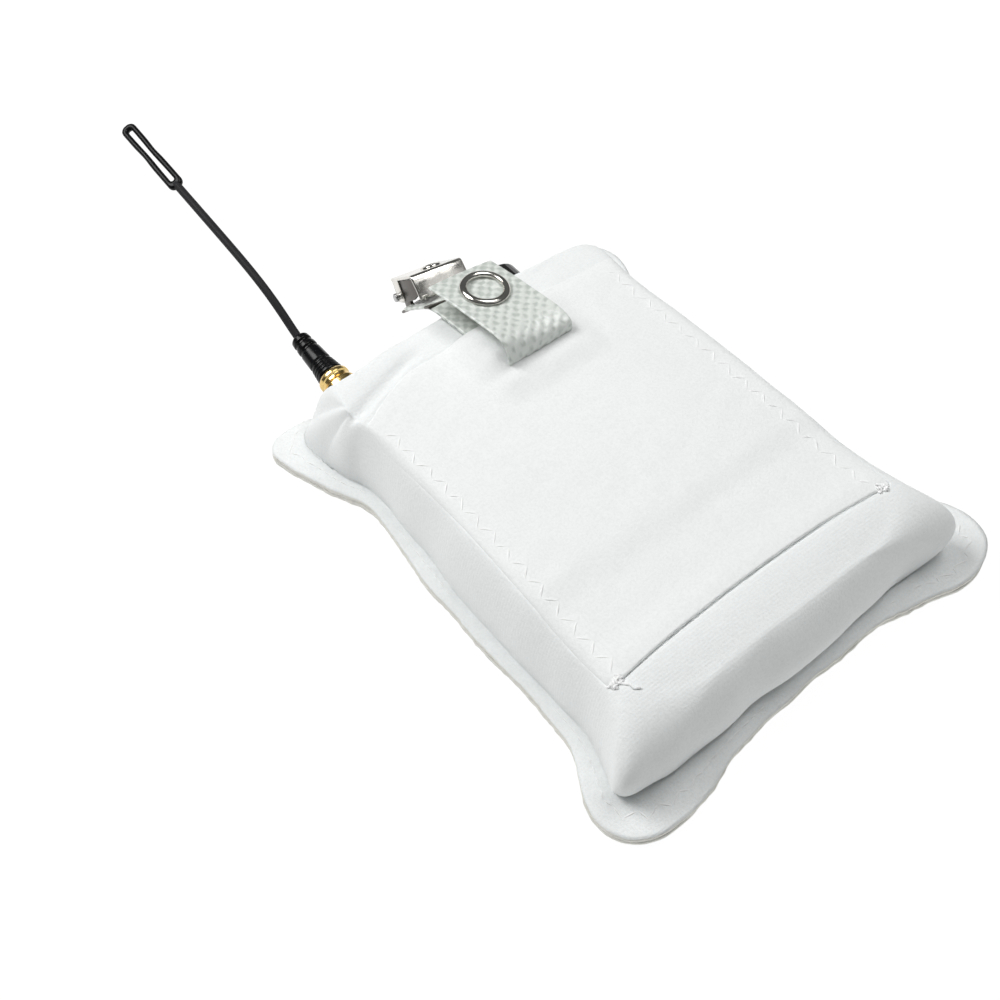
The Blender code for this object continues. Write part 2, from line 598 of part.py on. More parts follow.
def make_antenna():
    tilt = Matrix.Rotation(math.radians(ANTENNA_PITCH), 4, "X")
    base = frame("antenna_spin_axis", ANTENNA_AT, tilt)
    jack = [(0.0, 1.0), (1.5, 1.0), (1.5, 4.0), (2.1, 4.0), (2.1, -0.4), (2.7, -0.4), (2.7, -3.4), (0.0, -3.4)]
    finish(lathe("antenna_jack", jack, "Y", (0, 0, 0), 18), GOLD, base)
    sleeve = [(2.4, 2.0), (2.4, 5.75), (2.55, 5.75), (2.95, 5.3), (2.95, 4.7), (2.7, 4.5), (2.7, 3.9), (3.2, 3.2),
              (3.2, 2.0)]
    sleeve_obj = lathe("antenna_connector", sleeve, "Y", (0, 0, 0), 24)
    slots = box("cut_sleeve_slots", (-0.25, 1.0, -5.0), (0.25, 3.4, 5.0), (-5.0, 1.0, -0.25), (-0.6, 3.4, 0.25),
                (0.6, 1.0, -0.25), (5.0, 3.4, 0.25))
    boolean(sleeve_obj, helper(slots, base))
    finish(sleeve_obj, GOLD, base)
    ring = [(0.75, 4.35), (0.75, 5.6), (2.1, 5.6), (2.1, 4.35)]
    finish(lathe("antenna_insulator", ring, "Y", (0, 0, 0), 16), PTFE, base)
    pin = [(0.0, 5.6), (0.45, 5.6), (0.45, 1.5), (0.25, 1.3), (0.0, 1.3)]
    finish(lathe("antenna_centre_pin", pin, "Y", (0, 0, 0), 10), GOLD, base)

    outer = ((16.2, 1.5), (15.9, 1.75), (15.0, 1.8), (14.8, 1.55), (14.3, 1.55), (14.1, 1.85), (13.3, 1.9), (13.1, 1.6),
             (12.7, 1.6), (12.5, 1.9), (9.4, 2.1), (9.2, 1.8), (8.8, 1.85), (8.6, 2.2), (6.5, 2.55), (6.05, 2.5))
    boot = [(0.0, 15.0), (1.2, 15.0), (1.2, 16.2)] + [(r, h) for h, r in outer] + [(0.0, 6.05)]
    finish(lathe("antenna_boot", boot, "Y", (0, 0, 0), 20), BLACK_GLOSS, base)

    flex = frame("antenna_flex_axis", (0, 0, 0))
    flex.parent = base
    flex.matrix_basis = Matrix.Translation(Vector((0, BOOT_END, 0)) * MM)
    reach = 41.0
    path = [whip_point(-0.9)] + [whip_point(reach * (i / 22) ** 1.15) for i in range(23)]
    path = [(x, y - BOOT_END, z) for x, y, z in path]
    whip = wire("antenna_whip", path, WHIP_R, resolution=1)
    finish(whip, BLACK_MATT, flex)

    data = bpy.data.curves.new("antenna_tip_loop", "CURVE")
    data.dimensions = "2D"
    data.fill_mode = "BOTH"
    data.extrude = 0.3 * MM
    data.bevel_depth = 0.35 * MM
    data.bevel_resolution = 0
    for half, first, last, sides in ((1.2, 1.2, 18.2, 7), (0.7, 3.2, 17.6, 5)):
        spline = data.splines.new("POLY")
        points = []
        for end, start in ((last, 90), (first, 270)):
            for i in range(sides + 1):
                turn = math.radians(start - 180 * i / sides)
                points.append((end + half * math.cos(turn), half * math.sin(turn)))
        spline.points.add(len(points) - 1)
        for place, (a, b) in zip(spline.points, points):
            place.co = (b * MM, a * MM, 0.0, 1.0)
        spline.use_cyclic_u = True
    loop = bpy.data.objects.new("antenna_tip_loop", data)
    x, y, z = path[-1]
    loop.matrix_basis = (Matrix.Translation(Vector((0, y + GAP + 0.35, z)) * MM)
                         @ Matrix.Rotation(math.radians(LOOP_ROLL), 4, "Y"))
    finish(loop, BLACK_GLOSS, flex)


make_pouch()
make_flap()
CLIP = frame("clip_swivel_axis", CLIP_AT, clip_matrix())
bpy.context.view_layer.update()
make_strap(CLIP)
make_clip(CLIP)
make_case()
make_inside()
make_antenna()
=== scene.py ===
"""Looks of the bodypack transmitter in its stretch-knit pouch: cloth, threads, strap, metalwork and studio.

The object's lengths are in millimetres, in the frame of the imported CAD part. The floor, lights and camera are
in metres.
"""

import json
import math

import bmesh
import bpy
import numpy as np
from mathutils import Matrix, Vector
from mathutils.bvhtree import BVHTree


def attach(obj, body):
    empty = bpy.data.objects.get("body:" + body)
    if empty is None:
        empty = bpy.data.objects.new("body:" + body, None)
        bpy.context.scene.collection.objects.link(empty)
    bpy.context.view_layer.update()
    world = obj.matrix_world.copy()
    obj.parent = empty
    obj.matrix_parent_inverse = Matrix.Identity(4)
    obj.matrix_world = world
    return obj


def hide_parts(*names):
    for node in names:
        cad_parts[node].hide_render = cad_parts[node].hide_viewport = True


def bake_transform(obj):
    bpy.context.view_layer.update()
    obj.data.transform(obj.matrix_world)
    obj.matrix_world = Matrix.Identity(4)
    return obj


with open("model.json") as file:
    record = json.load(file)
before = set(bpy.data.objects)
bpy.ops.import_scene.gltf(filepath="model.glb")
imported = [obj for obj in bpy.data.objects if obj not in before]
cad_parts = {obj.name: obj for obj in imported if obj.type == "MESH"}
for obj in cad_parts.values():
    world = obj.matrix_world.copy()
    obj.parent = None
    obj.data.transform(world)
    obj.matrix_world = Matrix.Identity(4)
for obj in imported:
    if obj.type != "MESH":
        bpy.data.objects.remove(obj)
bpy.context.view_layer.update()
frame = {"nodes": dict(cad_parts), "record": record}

MM = 0.001
SCENE = bpy.context.scene

STRAP_HALF = 7.0
WEAVE = 2.2
CLIP_PITCH = -40
FLAP_RIGHT = 30.2
FLAP_REACH = 31
SLIT_AT, SLIT_BOW, SLIT_HALF = -34.05, 1.35, 29.0
SOCKET_X, SOCKET_Z, SOCKET_HOLE = 12.4, 10.0, 4.5
EDGE_Z = 2.05


# ------------------------------------------------------------------ small maths
def smooth(low, high, x):
    t = np.clip((np.asarray(x, float) - low) / (high - low), 0.0, 1.0)
    return t * t * (3.0 - 2.0 * t)


def ripple(x, y, size, seed):
    """Smooth unevenness from -1 to 1 over millimetres x and y, with features about as big as size."""
    rng = np.random.default_rng(seed)
    total = 0.0
    for _ in range(7):
        turn, shift, grow = rng.uniform(0, math.tau), rng.uniform(0, math.tau), rng.uniform(0.7, 1.5)
        total = total + np.sin((x * math.cos(turn) + y * math.sin(turn)) * math.tau / (size * grow) + shift)
    return total / 4.0


def through(points, base, anchors=None):
    """A smooth closed curve through the points, in step with the base loop.

    Each point belongs where the loop comes nearest to its anchor, or to the point itself without anchors.
    """
    points = np.array(points, float)
    anchors = points if anchors is None else np.array(anchors, float)
    gaps = np.linalg.norm(base[None, :, :] - anchors[:, None, :], axis=2)
    at = np.argmin(gaps, axis=1).astype(float)
    order = np.argsort(at, kind="stable")
    at, points = at[order], points[order]
    keep = np.concatenate([[True], np.diff(at) > 0.5])
    at, points = at[keep], points[keep]
    n = len(base)
    at = np.concatenate([at[-3:] - n, at, at[:3] + n])
    points = np.concatenate([points[-3:], points, points[:3]])
    slope = np.zeros_like(points)
    slope[1:-1] = (points[2:] - points[:-2]) / (at[2:] - at[:-2])[:, None]
    u = np.arange(n, dtype=float)
    i = np.clip(np.searchsorted(at, u, side="right") - 1, 0, len(at) - 2)
    gap = (at[i + 1] - at[i])[:, None]
    t = ((u - at[i])[:, None]) / gap
    return (
        (2 * t**3 - 3 * t**2 + 1) * points[i]
        + (t**3 - 2 * t**2 + t) * gap * slope[i]
        + (3 * t**2 - 2 * t**3) * points[i + 1]
        + (t**3 - t**2) * gap * slope[i + 1]
    )


def loop(half_x, half_y, radius):
    """A rounded rectangle, anticlockwise from the lower right corner."""
    points, arc_steps = [], 27
    corners = ((1, -1, 0, 150), (1, 1, 90, 110), (-1, 1, 180, 150), (-1, -1, 270, 110))
    for number, (sx, sy, start, steps) in enumerate(corners):
        centre = np.array([sx * (half_x - radius), sy * (half_y - radius)])
        for i in range(arc_steps + 1):
            angle = math.radians(start - 90 + 90 * i / arc_steps)
            points.append(centre + radius * np.array([math.cos(angle), math.sin(angle)]))
        sx2, sy2, start2 = corners[(number + 1) % 4][:3]
        angle = math.radians(start2 - 90)
        first = points[-1]
        last = np.array([sx2 * (half_x - radius), sy2 * (half_y - radius)])
        last = last + radius * np.array([math.cos(angle), math.sin(angle)])
        for i in range(1, steps):
            points.append(first + (last - first) * i / steps)
    return np.array(points)


# ------------------------------------------------------------------ materials
def nodes_of(name):
    mat = bpy.data.materials.new(name)
    mat.use_nodes = True
    tree = mat.node_tree
    return mat, tree, tree.nodes["Principled BSDF"]


def new(tree, kind, **values):
    node = tree.nodes.new(kind)
    for key, value in values.items():
        setattr(node, key, value)
    return node


def link(tree, a, b):
    tree.links.new(a, b)


def noise(tree, scale, detail=3.0, rough=0.6, coords=None):
    node = new(tree, "ShaderNodeTexNoise")
    node.inputs["Scale"].default_value = scale
    node.inputs["Detail"].default_value = detail
    node.inputs["Roughness"].default_value = rough
    if coords is None:
        coords = new(tree, "ShaderNodeTexCoord").outputs["Object"]
    link(tree, coords, node.inputs["Vector"])
    return node.outputs["Fac"]


def between(tree, fac, a, b, low=0.3, high=0.7):
    """A ramp from colour a to colour b as fac goes from low to high."""
    ramp = new(tree, "ShaderNodeValToRGB")
    ramp.color_ramp.elements[0].position, ramp.color_ramp.elements[1].position = low, high
    ramp.color_ramp.elements[0].color, ramp.color_ramp.elements[1].color = (*a, 1), (*b, 1)
    link(tree, fac, ramp.inputs["Fac"])
    return ramp.outputs["Color"]


def raised(tree, shader, height, distance, strength=1.0, under=None):
    node = new(tree, "ShaderNodeBump")
    node.inputs["Strength"].default_value = strength
    node.inputs["Distance"].default_value = distance
    link(tree, height, node.inputs["Height"])
    if under is not None:
        link(tree, under, node.inputs["Normal"])
    link(tree, node.outputs["Normal"], shader.inputs["Normal"])
    return node.outputs["Normal"]


def solid(name, colour, rough, metal=0.0, uneven=0.0, grain=900.0, ior=1.5, spread=0.12):
    """A plain finish whose roughness and colour vary a little over the surface."""
    mat, tree, shader = nodes_of(name)
    shader.inputs["Metallic"].default_value = metal
    fac = noise(tree, grain)
    dark = tuple(c * (1 - spread) for c in colour)
    link(tree, between(tree, fac, dark, colour), shader.inputs["Base Color"])
    low, high = max(rough - 0.06, 0.02), rough + 0.06
    link(tree, between(tree, fac, (low,) * 3, (high,) * 3), shader.inputs["Roughness"])
    shader.inputs["IOR"].default_value = ior
    if uneven:
        raised(tree, shader, noise(tree, grain * 0.6), uneven * MM)
    return mat


def knit(name, colour, ribs, fuzz):
    """Brushed or smooth-faced white stretch knit: fine ribs along x under a felty speckle."""
    mat, tree, shader = nodes_of(name)
    shader.inputs["Roughness"].default_value = 0.92
    shader.inputs["Specular IOR Level"].default_value = 0.12
    shader.inputs["Sheen Weight"].default_value = 0.15
    shader.inputs["Sheen Roughness"].default_value = 0.6
    coords = new(tree, "ShaderNodeTexCoord").outputs["Object"]
    speck = noise(tree, 2300.0, 2.0, 0.7, coords)
    cloud = noise(tree, 260.0, 4.0, 0.6, coords)
    darker = tuple(c * 0.95 for c in colour)
    link(tree, between(tree, speck, darker, colour, 0.35, 0.6), shader.inputs["Base Color"])
    first = raised(tree, shader, speck, fuzz * MM)
    first = raised(tree, shader, cloud, 0.08 * MM, 1.0, first)
    if ribs:
        wave = new(tree, "ShaderNodeTexWave", wave_type="BANDS", bands_direction="Y")
        wave.inputs["Scale"].default_value = 560.0
        wave.inputs["Distortion"].default_value = 1.2
        wave.inputs["Detail"].default_value = 2.0
        wave.inputs["Detail Scale"].default_value = 1.5
        link(tree, coords, wave.inputs["Vector"])
        raised(tree, shader, wave.outputs["Fac"], ribs * MM, 1.0, first)
    return mat


def woven(name):
    """Clear vinyl over a white woven scrim, its light and dull cells set out in the UV map's millimetres, with
    painted light and shade along the strap's length.
    """
    mat, tree, shader = nodes_of(name)
    shader.inputs["Roughness"].default_value = 0.3
    shader.inputs["Coat Weight"].default_value = 0.5
    shader.inputs["Coat Roughness"].default_value = 0.2
    uv = new(tree, "ShaderNodeUVMap", uv_map="weave").outputs["UV"]
    uneven = new(tree, "ShaderNodeTexNoise")
    uneven.inputs["Scale"].default_value, uneven.inputs["Detail"].default_value = 0.55, 2.0
    link(tree, uv, uneven.inputs["Vector"])
    drift = new(tree, "ShaderNodeVectorMath", operation="MULTIPLY_ADD")
    drift.inputs[1].default_value = (1.5, 1.5, 0.0)
    link(tree, uneven.outputs["Color"], drift.inputs[0])
    link(tree, uv, drift.inputs[2])
    parts = new(tree, "ShaderNodeSeparateXYZ")
    link(tree, drift.outputs[0], parts.inputs["Vector"])
    waves = []
    for axis in ("X", "Y"):
        turn = new(tree, "ShaderNodeMath", operation="MULTIPLY")
        turn.inputs[1].default_value = math.tau / WEAVE
        link(tree, parts.outputs[axis], turn.inputs[0])
        sine = new(tree, "ShaderNodeMath", operation="SINE")
        link(tree, turn.outputs[0], sine.inputs[0])
        waves.append(sine.outputs[0])
    check = new(tree, "ShaderNodeMath", operation="MULTIPLY")
    link(tree, waves[0], check.inputs[0])
    link(tree, waves[1], check.inputs[1])
    jitter = new(tree, "ShaderNodeMath", operation="ADD")
    link(tree, check.outputs[0], jitter.inputs[0])
    grain = new(tree, "ShaderNodeMath", operation="MULTIPLY_ADD")
    grain.inputs[1].default_value, grain.inputs[2].default_value = 1.1, -0.55
    link(tree, noise(tree, 700.0, 2.0), grain.inputs[0])
    link(tree, grain.outputs[0], jitter.inputs[1])
    lift = new(tree, "ShaderNodeMath", operation="MULTIPLY_ADD")
    lift.inputs[1].default_value, lift.inputs[2].default_value = 0.5, 0.5
    link(tree, jitter.outputs[0], lift.inputs[0])
    # Painted light and shade along the strap: the colour is lighter up to y 25 mm, by the fold, and darker from
    # y 34 mm on, towards the snap and the clip.
    place = new(tree, "ShaderNodeSeparateXYZ")
    link(tree, new(tree, "ShaderNodeTexCoord").outputs["Object"], place.inputs[0])
    painted_fold_light = new(tree, "ShaderNodeMapRange")
    painted_fold_light.inputs["From Min"].default_value, painted_fold_light.inputs["From Max"].default_value = 0.025, 0.034
    painted_fold_light.inputs["To Min"].default_value, painted_fold_light.inputs["To Max"].default_value = 0.16, -0.14
    link(tree, place.outputs["Y"], painted_fold_light.inputs["Value"])
    cells_and_painted_light = new(tree, "ShaderNodeMath", operation="ADD")
    link(tree, lift.outputs[0], cells_and_painted_light.inputs[0])
    link(tree, painted_fold_light.outputs[0], cells_and_painted_light.inputs[1])
    colour = between(tree, cells_and_painted_light.outputs[0], (0.56, 0.60, 0.56), (0.80, 0.83, 0.79), 0.10, 0.60)
    link(tree, colour, shader.inputs["Base Color"])
    raised(tree, shader, lift.outputs[0], 0.08 * MM)
    return mat


CLOTH = knit("pouch_knit", (0.905, 0.925, 0.92), 0.012, 0.08)
BRUSHED = knit("flap_knit", (0.925, 0.94, 0.935), 0.0, 0.09)
CUT_EDGE = knit("cut_edge", (0.86, 0.85, 0.79), 0.0, 0.12)
THREAD = solid("thread", (0.97, 0.975, 0.97), 0.6, spread=0.04)
VINYL = woven("vinyl_strap")
NICKEL = solid("nickel", (0.77, 0.745, 0.70), 0.16, 1.0, grain=500.0)
STEEL = solid("steel", (0.50, 0.50, 0.50), 0.32, 1.0)
# Painted shade: nickel made near-black for the clip's base plate and side cheeks, standing for metal in shadow
# that reflects dark surroundings.
NICKEL_IN_PAINTED_SHADE = solid("nickel_painted_shade", (0.13, 0.12, 0.11), 0.35, 1.0)
GOLD = solid("gold", (0.86, 0.62, 0.25), 0.2, 1.0)
BOOT = solid("boot_rubber", (0.004, 0.004, 0.005), 0.24, uneven=0.003, ior=1.3)
WHIP = solid("whip_sheath", (0.030, 0.030, 0.032), 0.45, uneven=0.008, ior=1.16)
TIP = solid("tip_rubber", (0.004, 0.004, 0.005), 0.3, uneven=0.003, ior=1.25)
CASE = solid("case_plastic", (0.02, 0.02, 0.022), 0.5, uneven=0.01)
SEAL = solid("seal_rubber", (0.03, 0.03, 0.03), 0.7)
SOCKET = solid("socket_plastic", (0.007, 0.007, 0.008), 0.3)
BOARD = solid("board", (0.02, 0.16, 0.06), 0.4)
PTFE = solid("ptfe", (0.86, 0.86, 0.84), 0.5)
CELL = solid("cell_skin", (0.10, 0.16, 0.30), 0.4, 0.2)
GLASS = solid("dark_glass", (0.02, 0.025, 0.025), 0.1)
LAMP = solid("lamp", (0.15, 0.65, 0.20), 0.3)

BY_SLOT = {
    "knit": CLOTH, "thread": THREAD, "vinyl": VINYL, "nickel": NICKEL, "steel": STEEL, "gold": GOLD,
    "boot_rubber": BOOT, "whip_sheath": WHIP, "case_plastic": CASE, "seal_rubber": SEAL,
    "socket_plastic": SOCKET, "board": BOARD, "ptfe": PTFE, "cell_skin": CELL, "dark_glass": GLASS,
    "lamp": LAMP,
}
for entry in frame["record"]["materials"]:
    for name in entry.get("nodes", []):
        holder = frame["nodes"][name].data.materials
        holder.clear()
        holder.append(BY_SLOT[entry["slot"]])


# ------------------------------------------------------------------ mesh helpers
def piece(name, points, faces, mat, replaces=(), body="pouch", sharp=False):
    data = bpy.data.meshes.new(name)
    data.from_pydata((np.asarray(points, float) * MM).tolist(), [], faces)
    data.update()
    obj = bpy.data.objects.new(name, data)
    SCENE.collection.objects.link(obj)
    data.materials.append(mat)
    if not sharp:
        data.polygons.foreach_set("use_smooth", [True] * len(data.polygons))
    if body:
        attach(obj, body)
    if replaces:
        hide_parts(*replaces)
    return obj


def quads(rows, columns, around=False, flip=False, start=0):
    faces = []
    for j in range(rows - 1):
        for i in range(columns if around else columns - 1):
            k = (i + 1) % columns
            a, b = start + j * columns + i, start + j * columns + k
            c, d = start + (j + 1) * columns + k, start + (j + 1) * columns + i
            faces.append((a, d, c, b) if flip else (a, b, c, d))
    return faces


def normals_out(obj):
    work = bmesh.new()
    work.from_mesh(obj.data)
    bmesh.ops.recalc_face_normals(work, faces=work.faces)
    work.to_mesh(obj.data)
    work.free()
    return obj


def sheet_faces(rows, columns):
    """Faces of a closed sheet: the points of its upper side come first, row by row, then its lower side's."""
    count = rows * columns
    faces = quads(rows, columns) + quads(rows, columns, flip=True, start=count)
    rim = list(range(columns)) + [j * columns + columns - 1 for j in range(1, rows)]
    rim += [(rows - 1) * columns + i for i in range(columns - 2, -1, -1)]
    rim += [j * columns for j in range(rows - 2, 0, -1)]
    return faces + [(a, a + count, b + count, b) for a, b in zip(rim, rim[1:] + rim[:1])]


def joined(parts):
    """The (points, faces) pairs as one."""
    points, faces = [], []
    for more, ring in parts:
        base = len(points)
        points += [tuple(p) for p in more]
        faces += [tuple(base + v for v in f) for f in ring]
    return points, faces


def bevelled(obj, width):
    edge = obj.modifiers.new("edges", "BEVEL")
    edge.width, edge.segments, edge.limit_method = width * MM, 2, "ANGLE"


def cut_edged(obj, first, last):
    """The faces from first up to last take the cut edge's material."""
    obj.data.materials.append(CUT_EDGE)
    index = np.zeros(len(obj.data.polygons), int)
    index[first:last] = 1
    obj.data.polygons.foreach_set("material_index", index.tolist())


def distances(path):
    """How far along the path each of its points lies."""
    return np.concatenate([[0], np.cumsum(np.linalg.norm(np.diff(path, axis=0), axis=1))])


def directions(path):
    run = np.gradient(path, axis=0)
    return run / np.linalg.norm(run, axis=1)[:, None]


def moved(matrix, points):
    points = np.asarray(points, float)
    grid = np.array(matrix)
    return points @ grid[:3, :3].T + grid[:3, 3]


def tube(path, radius, sides):
    """Points and faces of a closed tube along the path."""
    path = np.asarray(path, float)
    n = len(path)
    along = np.gradient(path, axis=0)
    along /= np.linalg.norm(along, axis=1)[:, None] + 1e-12
    side = np.cross(along[0], (0.0, 0.0, 1.0))
    if np.linalg.norm(side) < 1e-3:
        side = np.cross(along[0], (1.0, 0.0, 0.0))
    points = []
    for i in range(n):
        side = side - along[i] * (side @ along[i])
        side = side / np.linalg.norm(side)
        up = np.cross(side, along[i])
        for k in range(sides):
            turn = math.tau * k / sides
            points.append(path[i] + radius * (math.cos(turn) * side + math.sin(turn) * up))
    faces = quads(n, sides, around=True)
    return points, faces + [tuple(reversed(range(sides))), tuple(range((n - 1) * sides, n * sides))]


def threads(name, paths, radius, replaces=()):
    points, faces = joined(tube(path, radius, 6) for path in paths)
    piece(name, points, faces, THREAD, replaces)


def turned(profile, matrix, steps=72):
    """Points and faces of a (radius, height) profile turned about the matrix's y axis."""
    closed = min(r for r, h in profile) > 0
    turns = [math.tau * k / steps for k in range(steps)]
    rings = [[(r * math.cos(turn), h, r * math.sin(turn)) for turn in turns] for r, h in profile]
    if closed:
        rings.append(rings[0])
    points = [p for ring in rings for p in ring]
    return moved(matrix, points), quads(len(rings), steps, around=True)


def rounded(profile, radius, steps=4):
    """The open profile with its corners rounded, so that a lathed edge catches the light."""
    out = [profile[0]]
    for before, here, after in zip(profile, profile[1:], profile[2:]):
        a, b = np.array(before) - here, np.array(after) - here
        la, lb = np.linalg.norm(a), np.linalg.norm(b)
        cut = min(radius, 0.45 * la, 0.45 * lb)
        start, end = here + a / la * cut, here + b / lb * cut
        for i in range(steps + 1):
            t = i / steps
            out.append(tuple((1 - t) ** 2 * start + 2 * t * (1 - t) * np.array(here) + t * t * end))
    return out + [profile[-1]]


# ------------------------------------------------------------------ pouch shape
BASE = loop(34.2, 47.0, 7.0)
N = len(BASE)
OUTER = through([
    (-5, -47.1), (5, -46.7), (19, -46.6), (28, -48.4), (34, -50.0), (38.3, -49.8), (42, -48.3), (44.4, -46),
    (45.4, -42), (44.4, -37.6), (40.4, -33.0), (36.6, -29), (35, -22), (34.6, -5), (34.4, 12), (34.6, 24),
    (36, 33), (39.2, 38.5), (40.4, 42.5), (39.9, 46), (38.4, 48.6), (35.6, 50.1), (32, 50.6), (27, 50.0),
    (20, 48.2), (8, 47), (-8, 46.8), (-18, 47), (-26.7, 47.6), (-31, 48.2), (-35, 48.2), (-38, 47.4),
    (-39.6, 45.2), (-38.9, 41.5), (-37.4, 37), (-35.8, 32), (-33.8, 28), (-32.8, 24.5), (-33.2, 18),
    (-33.9, 12), (-34.4, 4), (-34.3, -6), (-34.4, -14), (-34.3, -24), (-34.9, -31), (-36.6, -35.5),
    (-38.6, -40), (-39.4, -43.5), (-38.6, -47), (-36.4, -49.4), (-33.6, -50.7), (-30, -51.3), (-26.5, -51.3),
    (-22.5, -50.3), (-17.5, -48.7), (-11.5, -47.6),
], BASE)
CREASE = through([
    (-8, -44.6), (5, -44.3), (17, -44.1), (26, -43.9), (32, -43.9), (35.4, -43.2), (36.6, -41), (36.2, -37),
    (34.6, -31), (33.6, -22), (33.3, -5), (33.1, 10), (32.6, 22), (32.4, 31), (33.0, 38), (33.4, 42.5),
    (31, 45.2), (25, 45.6), (10, 45), (-5, 45), (-16, 45.4), (-24, 46), (-29, 46.2), (-32.2, 46.0),
    (-33.6, 43.6), (-33.4, 39), (-32.3, 33), (-30.8, 29), (-30.3, 24), (-30.6, 17), (-31.0, 8), (-31.7, 2),
    (-32, -6), (-31.9, -14), (-31.7, -24), (-31.6, -31), (-32.7, -35.8), (-34.0, -39.4), (-34.5, -41.6),
    (-33.4, -43.6), (-29.8, -44.8), (-24, -45.4), (-18, -45.3), (-13, -45.0),
], BASE)
INWARD = (CREASE - OUTER) / (np.linalg.norm(CREASE - OUTER, axis=1)[:, None] + 1e-6)
# SHOULDER is where the walls turn into the upper face. It is PLAIN, a rounded rectangle a little drawn in,
# except at the upper left. There CORNER pairs a place on the base loop with a point drawn back round the
# antenna's neck.
CORNER = (
    ((-34.2, 22), (-27.3, 22)), ((-34.2, 28), (-28.4, 28.3)), ((-34.2, 33), (-29.1, 31.4)),
    ((-34.2, 40), (-29.6, 33.0)), ((-32.1, 44.9), (-29.4, 33.9)), ((-27.2, 47), (-27.8, 34.9)),
    ((-22, 47), (-23.5, 36.2)), ((-16, 47), (-17, 37.3)), ((-8, 47), (-8.5, 38.3)), ((0, 47), (0, 38.9)),
)
PLAIN = loop(27.7, 40.2, 9.0) + np.array([0.8, -1.0])
PLAIN[:, 1] += 0.6 * smooth(-25, -39, PLAIN[:, 1])
PLAIN[:, 0] -= 1.6 * smooth(-5, 28, PLAIN[:, 1]) * smooth(10, 25, PLAIN[:, 0])
REGULAR = [i for i in range(0, N, 18) if not (BASE[i][0] < 3 and BASE[i][1] > 19)]
SHOULDER = through([PLAIN[i] for i in REGULAR] + [at for _, at in CORNER], BASE,
                   [BASE[i] for i in REGULAR] + [on for on, _ in CORNER])


def uneven_loop(first_size, second_size, seed):
    """A small seeded shift, in x and in y, of each point of the base loop."""
    x, y = BASE.T
    return np.stack([ripple(x, y, first_size, seed), ripple(x, y, second_size, seed + 1)], axis=1)


EDGE_DRIFT = uneven_loop(12, 12, 21)
EDGE_FRAY = uneven_loop(1.7, 2.1, 23)


def slit_y(x):
    return SLIT_AT + SLIT_BOW * (1 - np.clip(np.asarray(x, float) / SLIT_HALF, -1, 1) ** 2)


def slit_shift(x):
    """How far the slit bows away from a straight line at x."""
    bow = SLIT_BOW * (1 - (np.clip(x, -SLIT_HALF, SLIT_HALF) / SLIT_HALF) ** 2)
    return np.where(np.abs(x) < FLAP_REACH, bow, 0.0)


def flap_left(y):
    return -29.4 + 0.75 * np.exp(-(((np.asarray(y, float) - 4.0) / 19.0) ** 2))


def hem_y(x):
    """The flap's top edge runs level, and slants down to the left corner."""
    x = np.asarray(x, float)
    return 34.0 - 5.9 * np.clip((-15.5 - x) / 14.0, 0, 2.0) ** 1.35


def strap_x(y):
    """The middle of the strap, which runs a little askew."""
    return 4.1 - 0.09 * (y - 22.9)


def top_height(x, y):
    """The filled pouch's upper face: nearly flat over the transmitter, lower to the right and at the ends."""
    z = 17.75 + 0 * x
    z = z - 1.1 * smooth(12, 32, x) - 0.25 * smooth(-20, -31, x) * smooth(30, 22, y)
    z = z - 0.55 * smooth(-14, -20, y) - 0.8 * smooth(-34, -43, y)
    z = z + 0.35 * smooth(-26, -33, y) * smooth(-44, -36, y)
    z = z - 0.7 * smooth(30, 42, y) * smooth(-18, -2, x) + 0.2 * smooth(-10, -24, x) * smooth(30, 34, y)
    groove = np.exp(-(((y - 35.7 - 0.33 * (x + 16)) / 1.05) ** 2))
    z = z - 1.0 * groove * smooth(-8, -17, x) - 0.3 * smooth(37, 41, y) * smooth(8, 16, x)
    return z + 0.16 * ripple(x, y, 30, 3) + 0.03 * ripple(x, y, 9, 4)


def squareness(x, y):
    """The power of the wall's rounding: 2 is an ellipse, and more is squarer."""
    corner = smooth(31, 38, y) * smooth(-27, -32, x)
    return 2.45 - 0.2 * smooth(-26, -31, x) - 1.1 * corner


def flange_height(x, y, out):
    """Upper face of the sewn edge; out runs from 0 at the crease to 1 at the cut edge."""
    lift = 0.55 * np.exp(-(((x + 38) / 7.5) ** 2) - (((y - 45) / 8.0) ** 2))
    lift = lift + 0.5 * np.exp(-(((x + 33) / 3.0) ** 2) - (((y - 25) / 5.0) ** 2))
    lift = lift + 0.4 * np.exp(-(((x - 44) / 6.0) ** 2) - (((y + 43) / 7.0) ** 2))
    lift = lift + 0.9 * np.exp(-(((x - 38) / 8.0) ** 2) - (((y - 47) / 7.0) ** 2))
    crown = 0.28 * np.sin(np.pi * np.clip(out, 0, 1))
    wavy = 0.10 * ripple(x, y, 11, 9) * out + 0.05 * ripple(x, y, 3.5, 10)
    return EDGE_Z + lift * (0.35 + 0.65 * out) + crown + wavy


def wall_profile(step, last, power, rolled):
    """How far in and how far up the wall has come, from 0 at the crease to 1 at the shoulder.

    The end wall, where rolled is 1, climbs straight and then bends over in a quarter round.
    """
    straight = 11
    turn = math.pi / 2 * ((step + 0.6) / (last + 0.6)) ** 0.9
    across = 1 - math.cos(turn) ** (2 / power) if step < last else np.ones(N)
    up = math.sin(turn) ** (2 / power)
    climb, bend = min(step / straight, 1), math.pi / 2 * max(step - straight, 0) / (last - straight)
    across = across + (1 - math.cos(bend) - across) * rolled
    up = up + (0.48 * climb + 0.52 * math.sin(bend) - up) * rolled
    return across, up


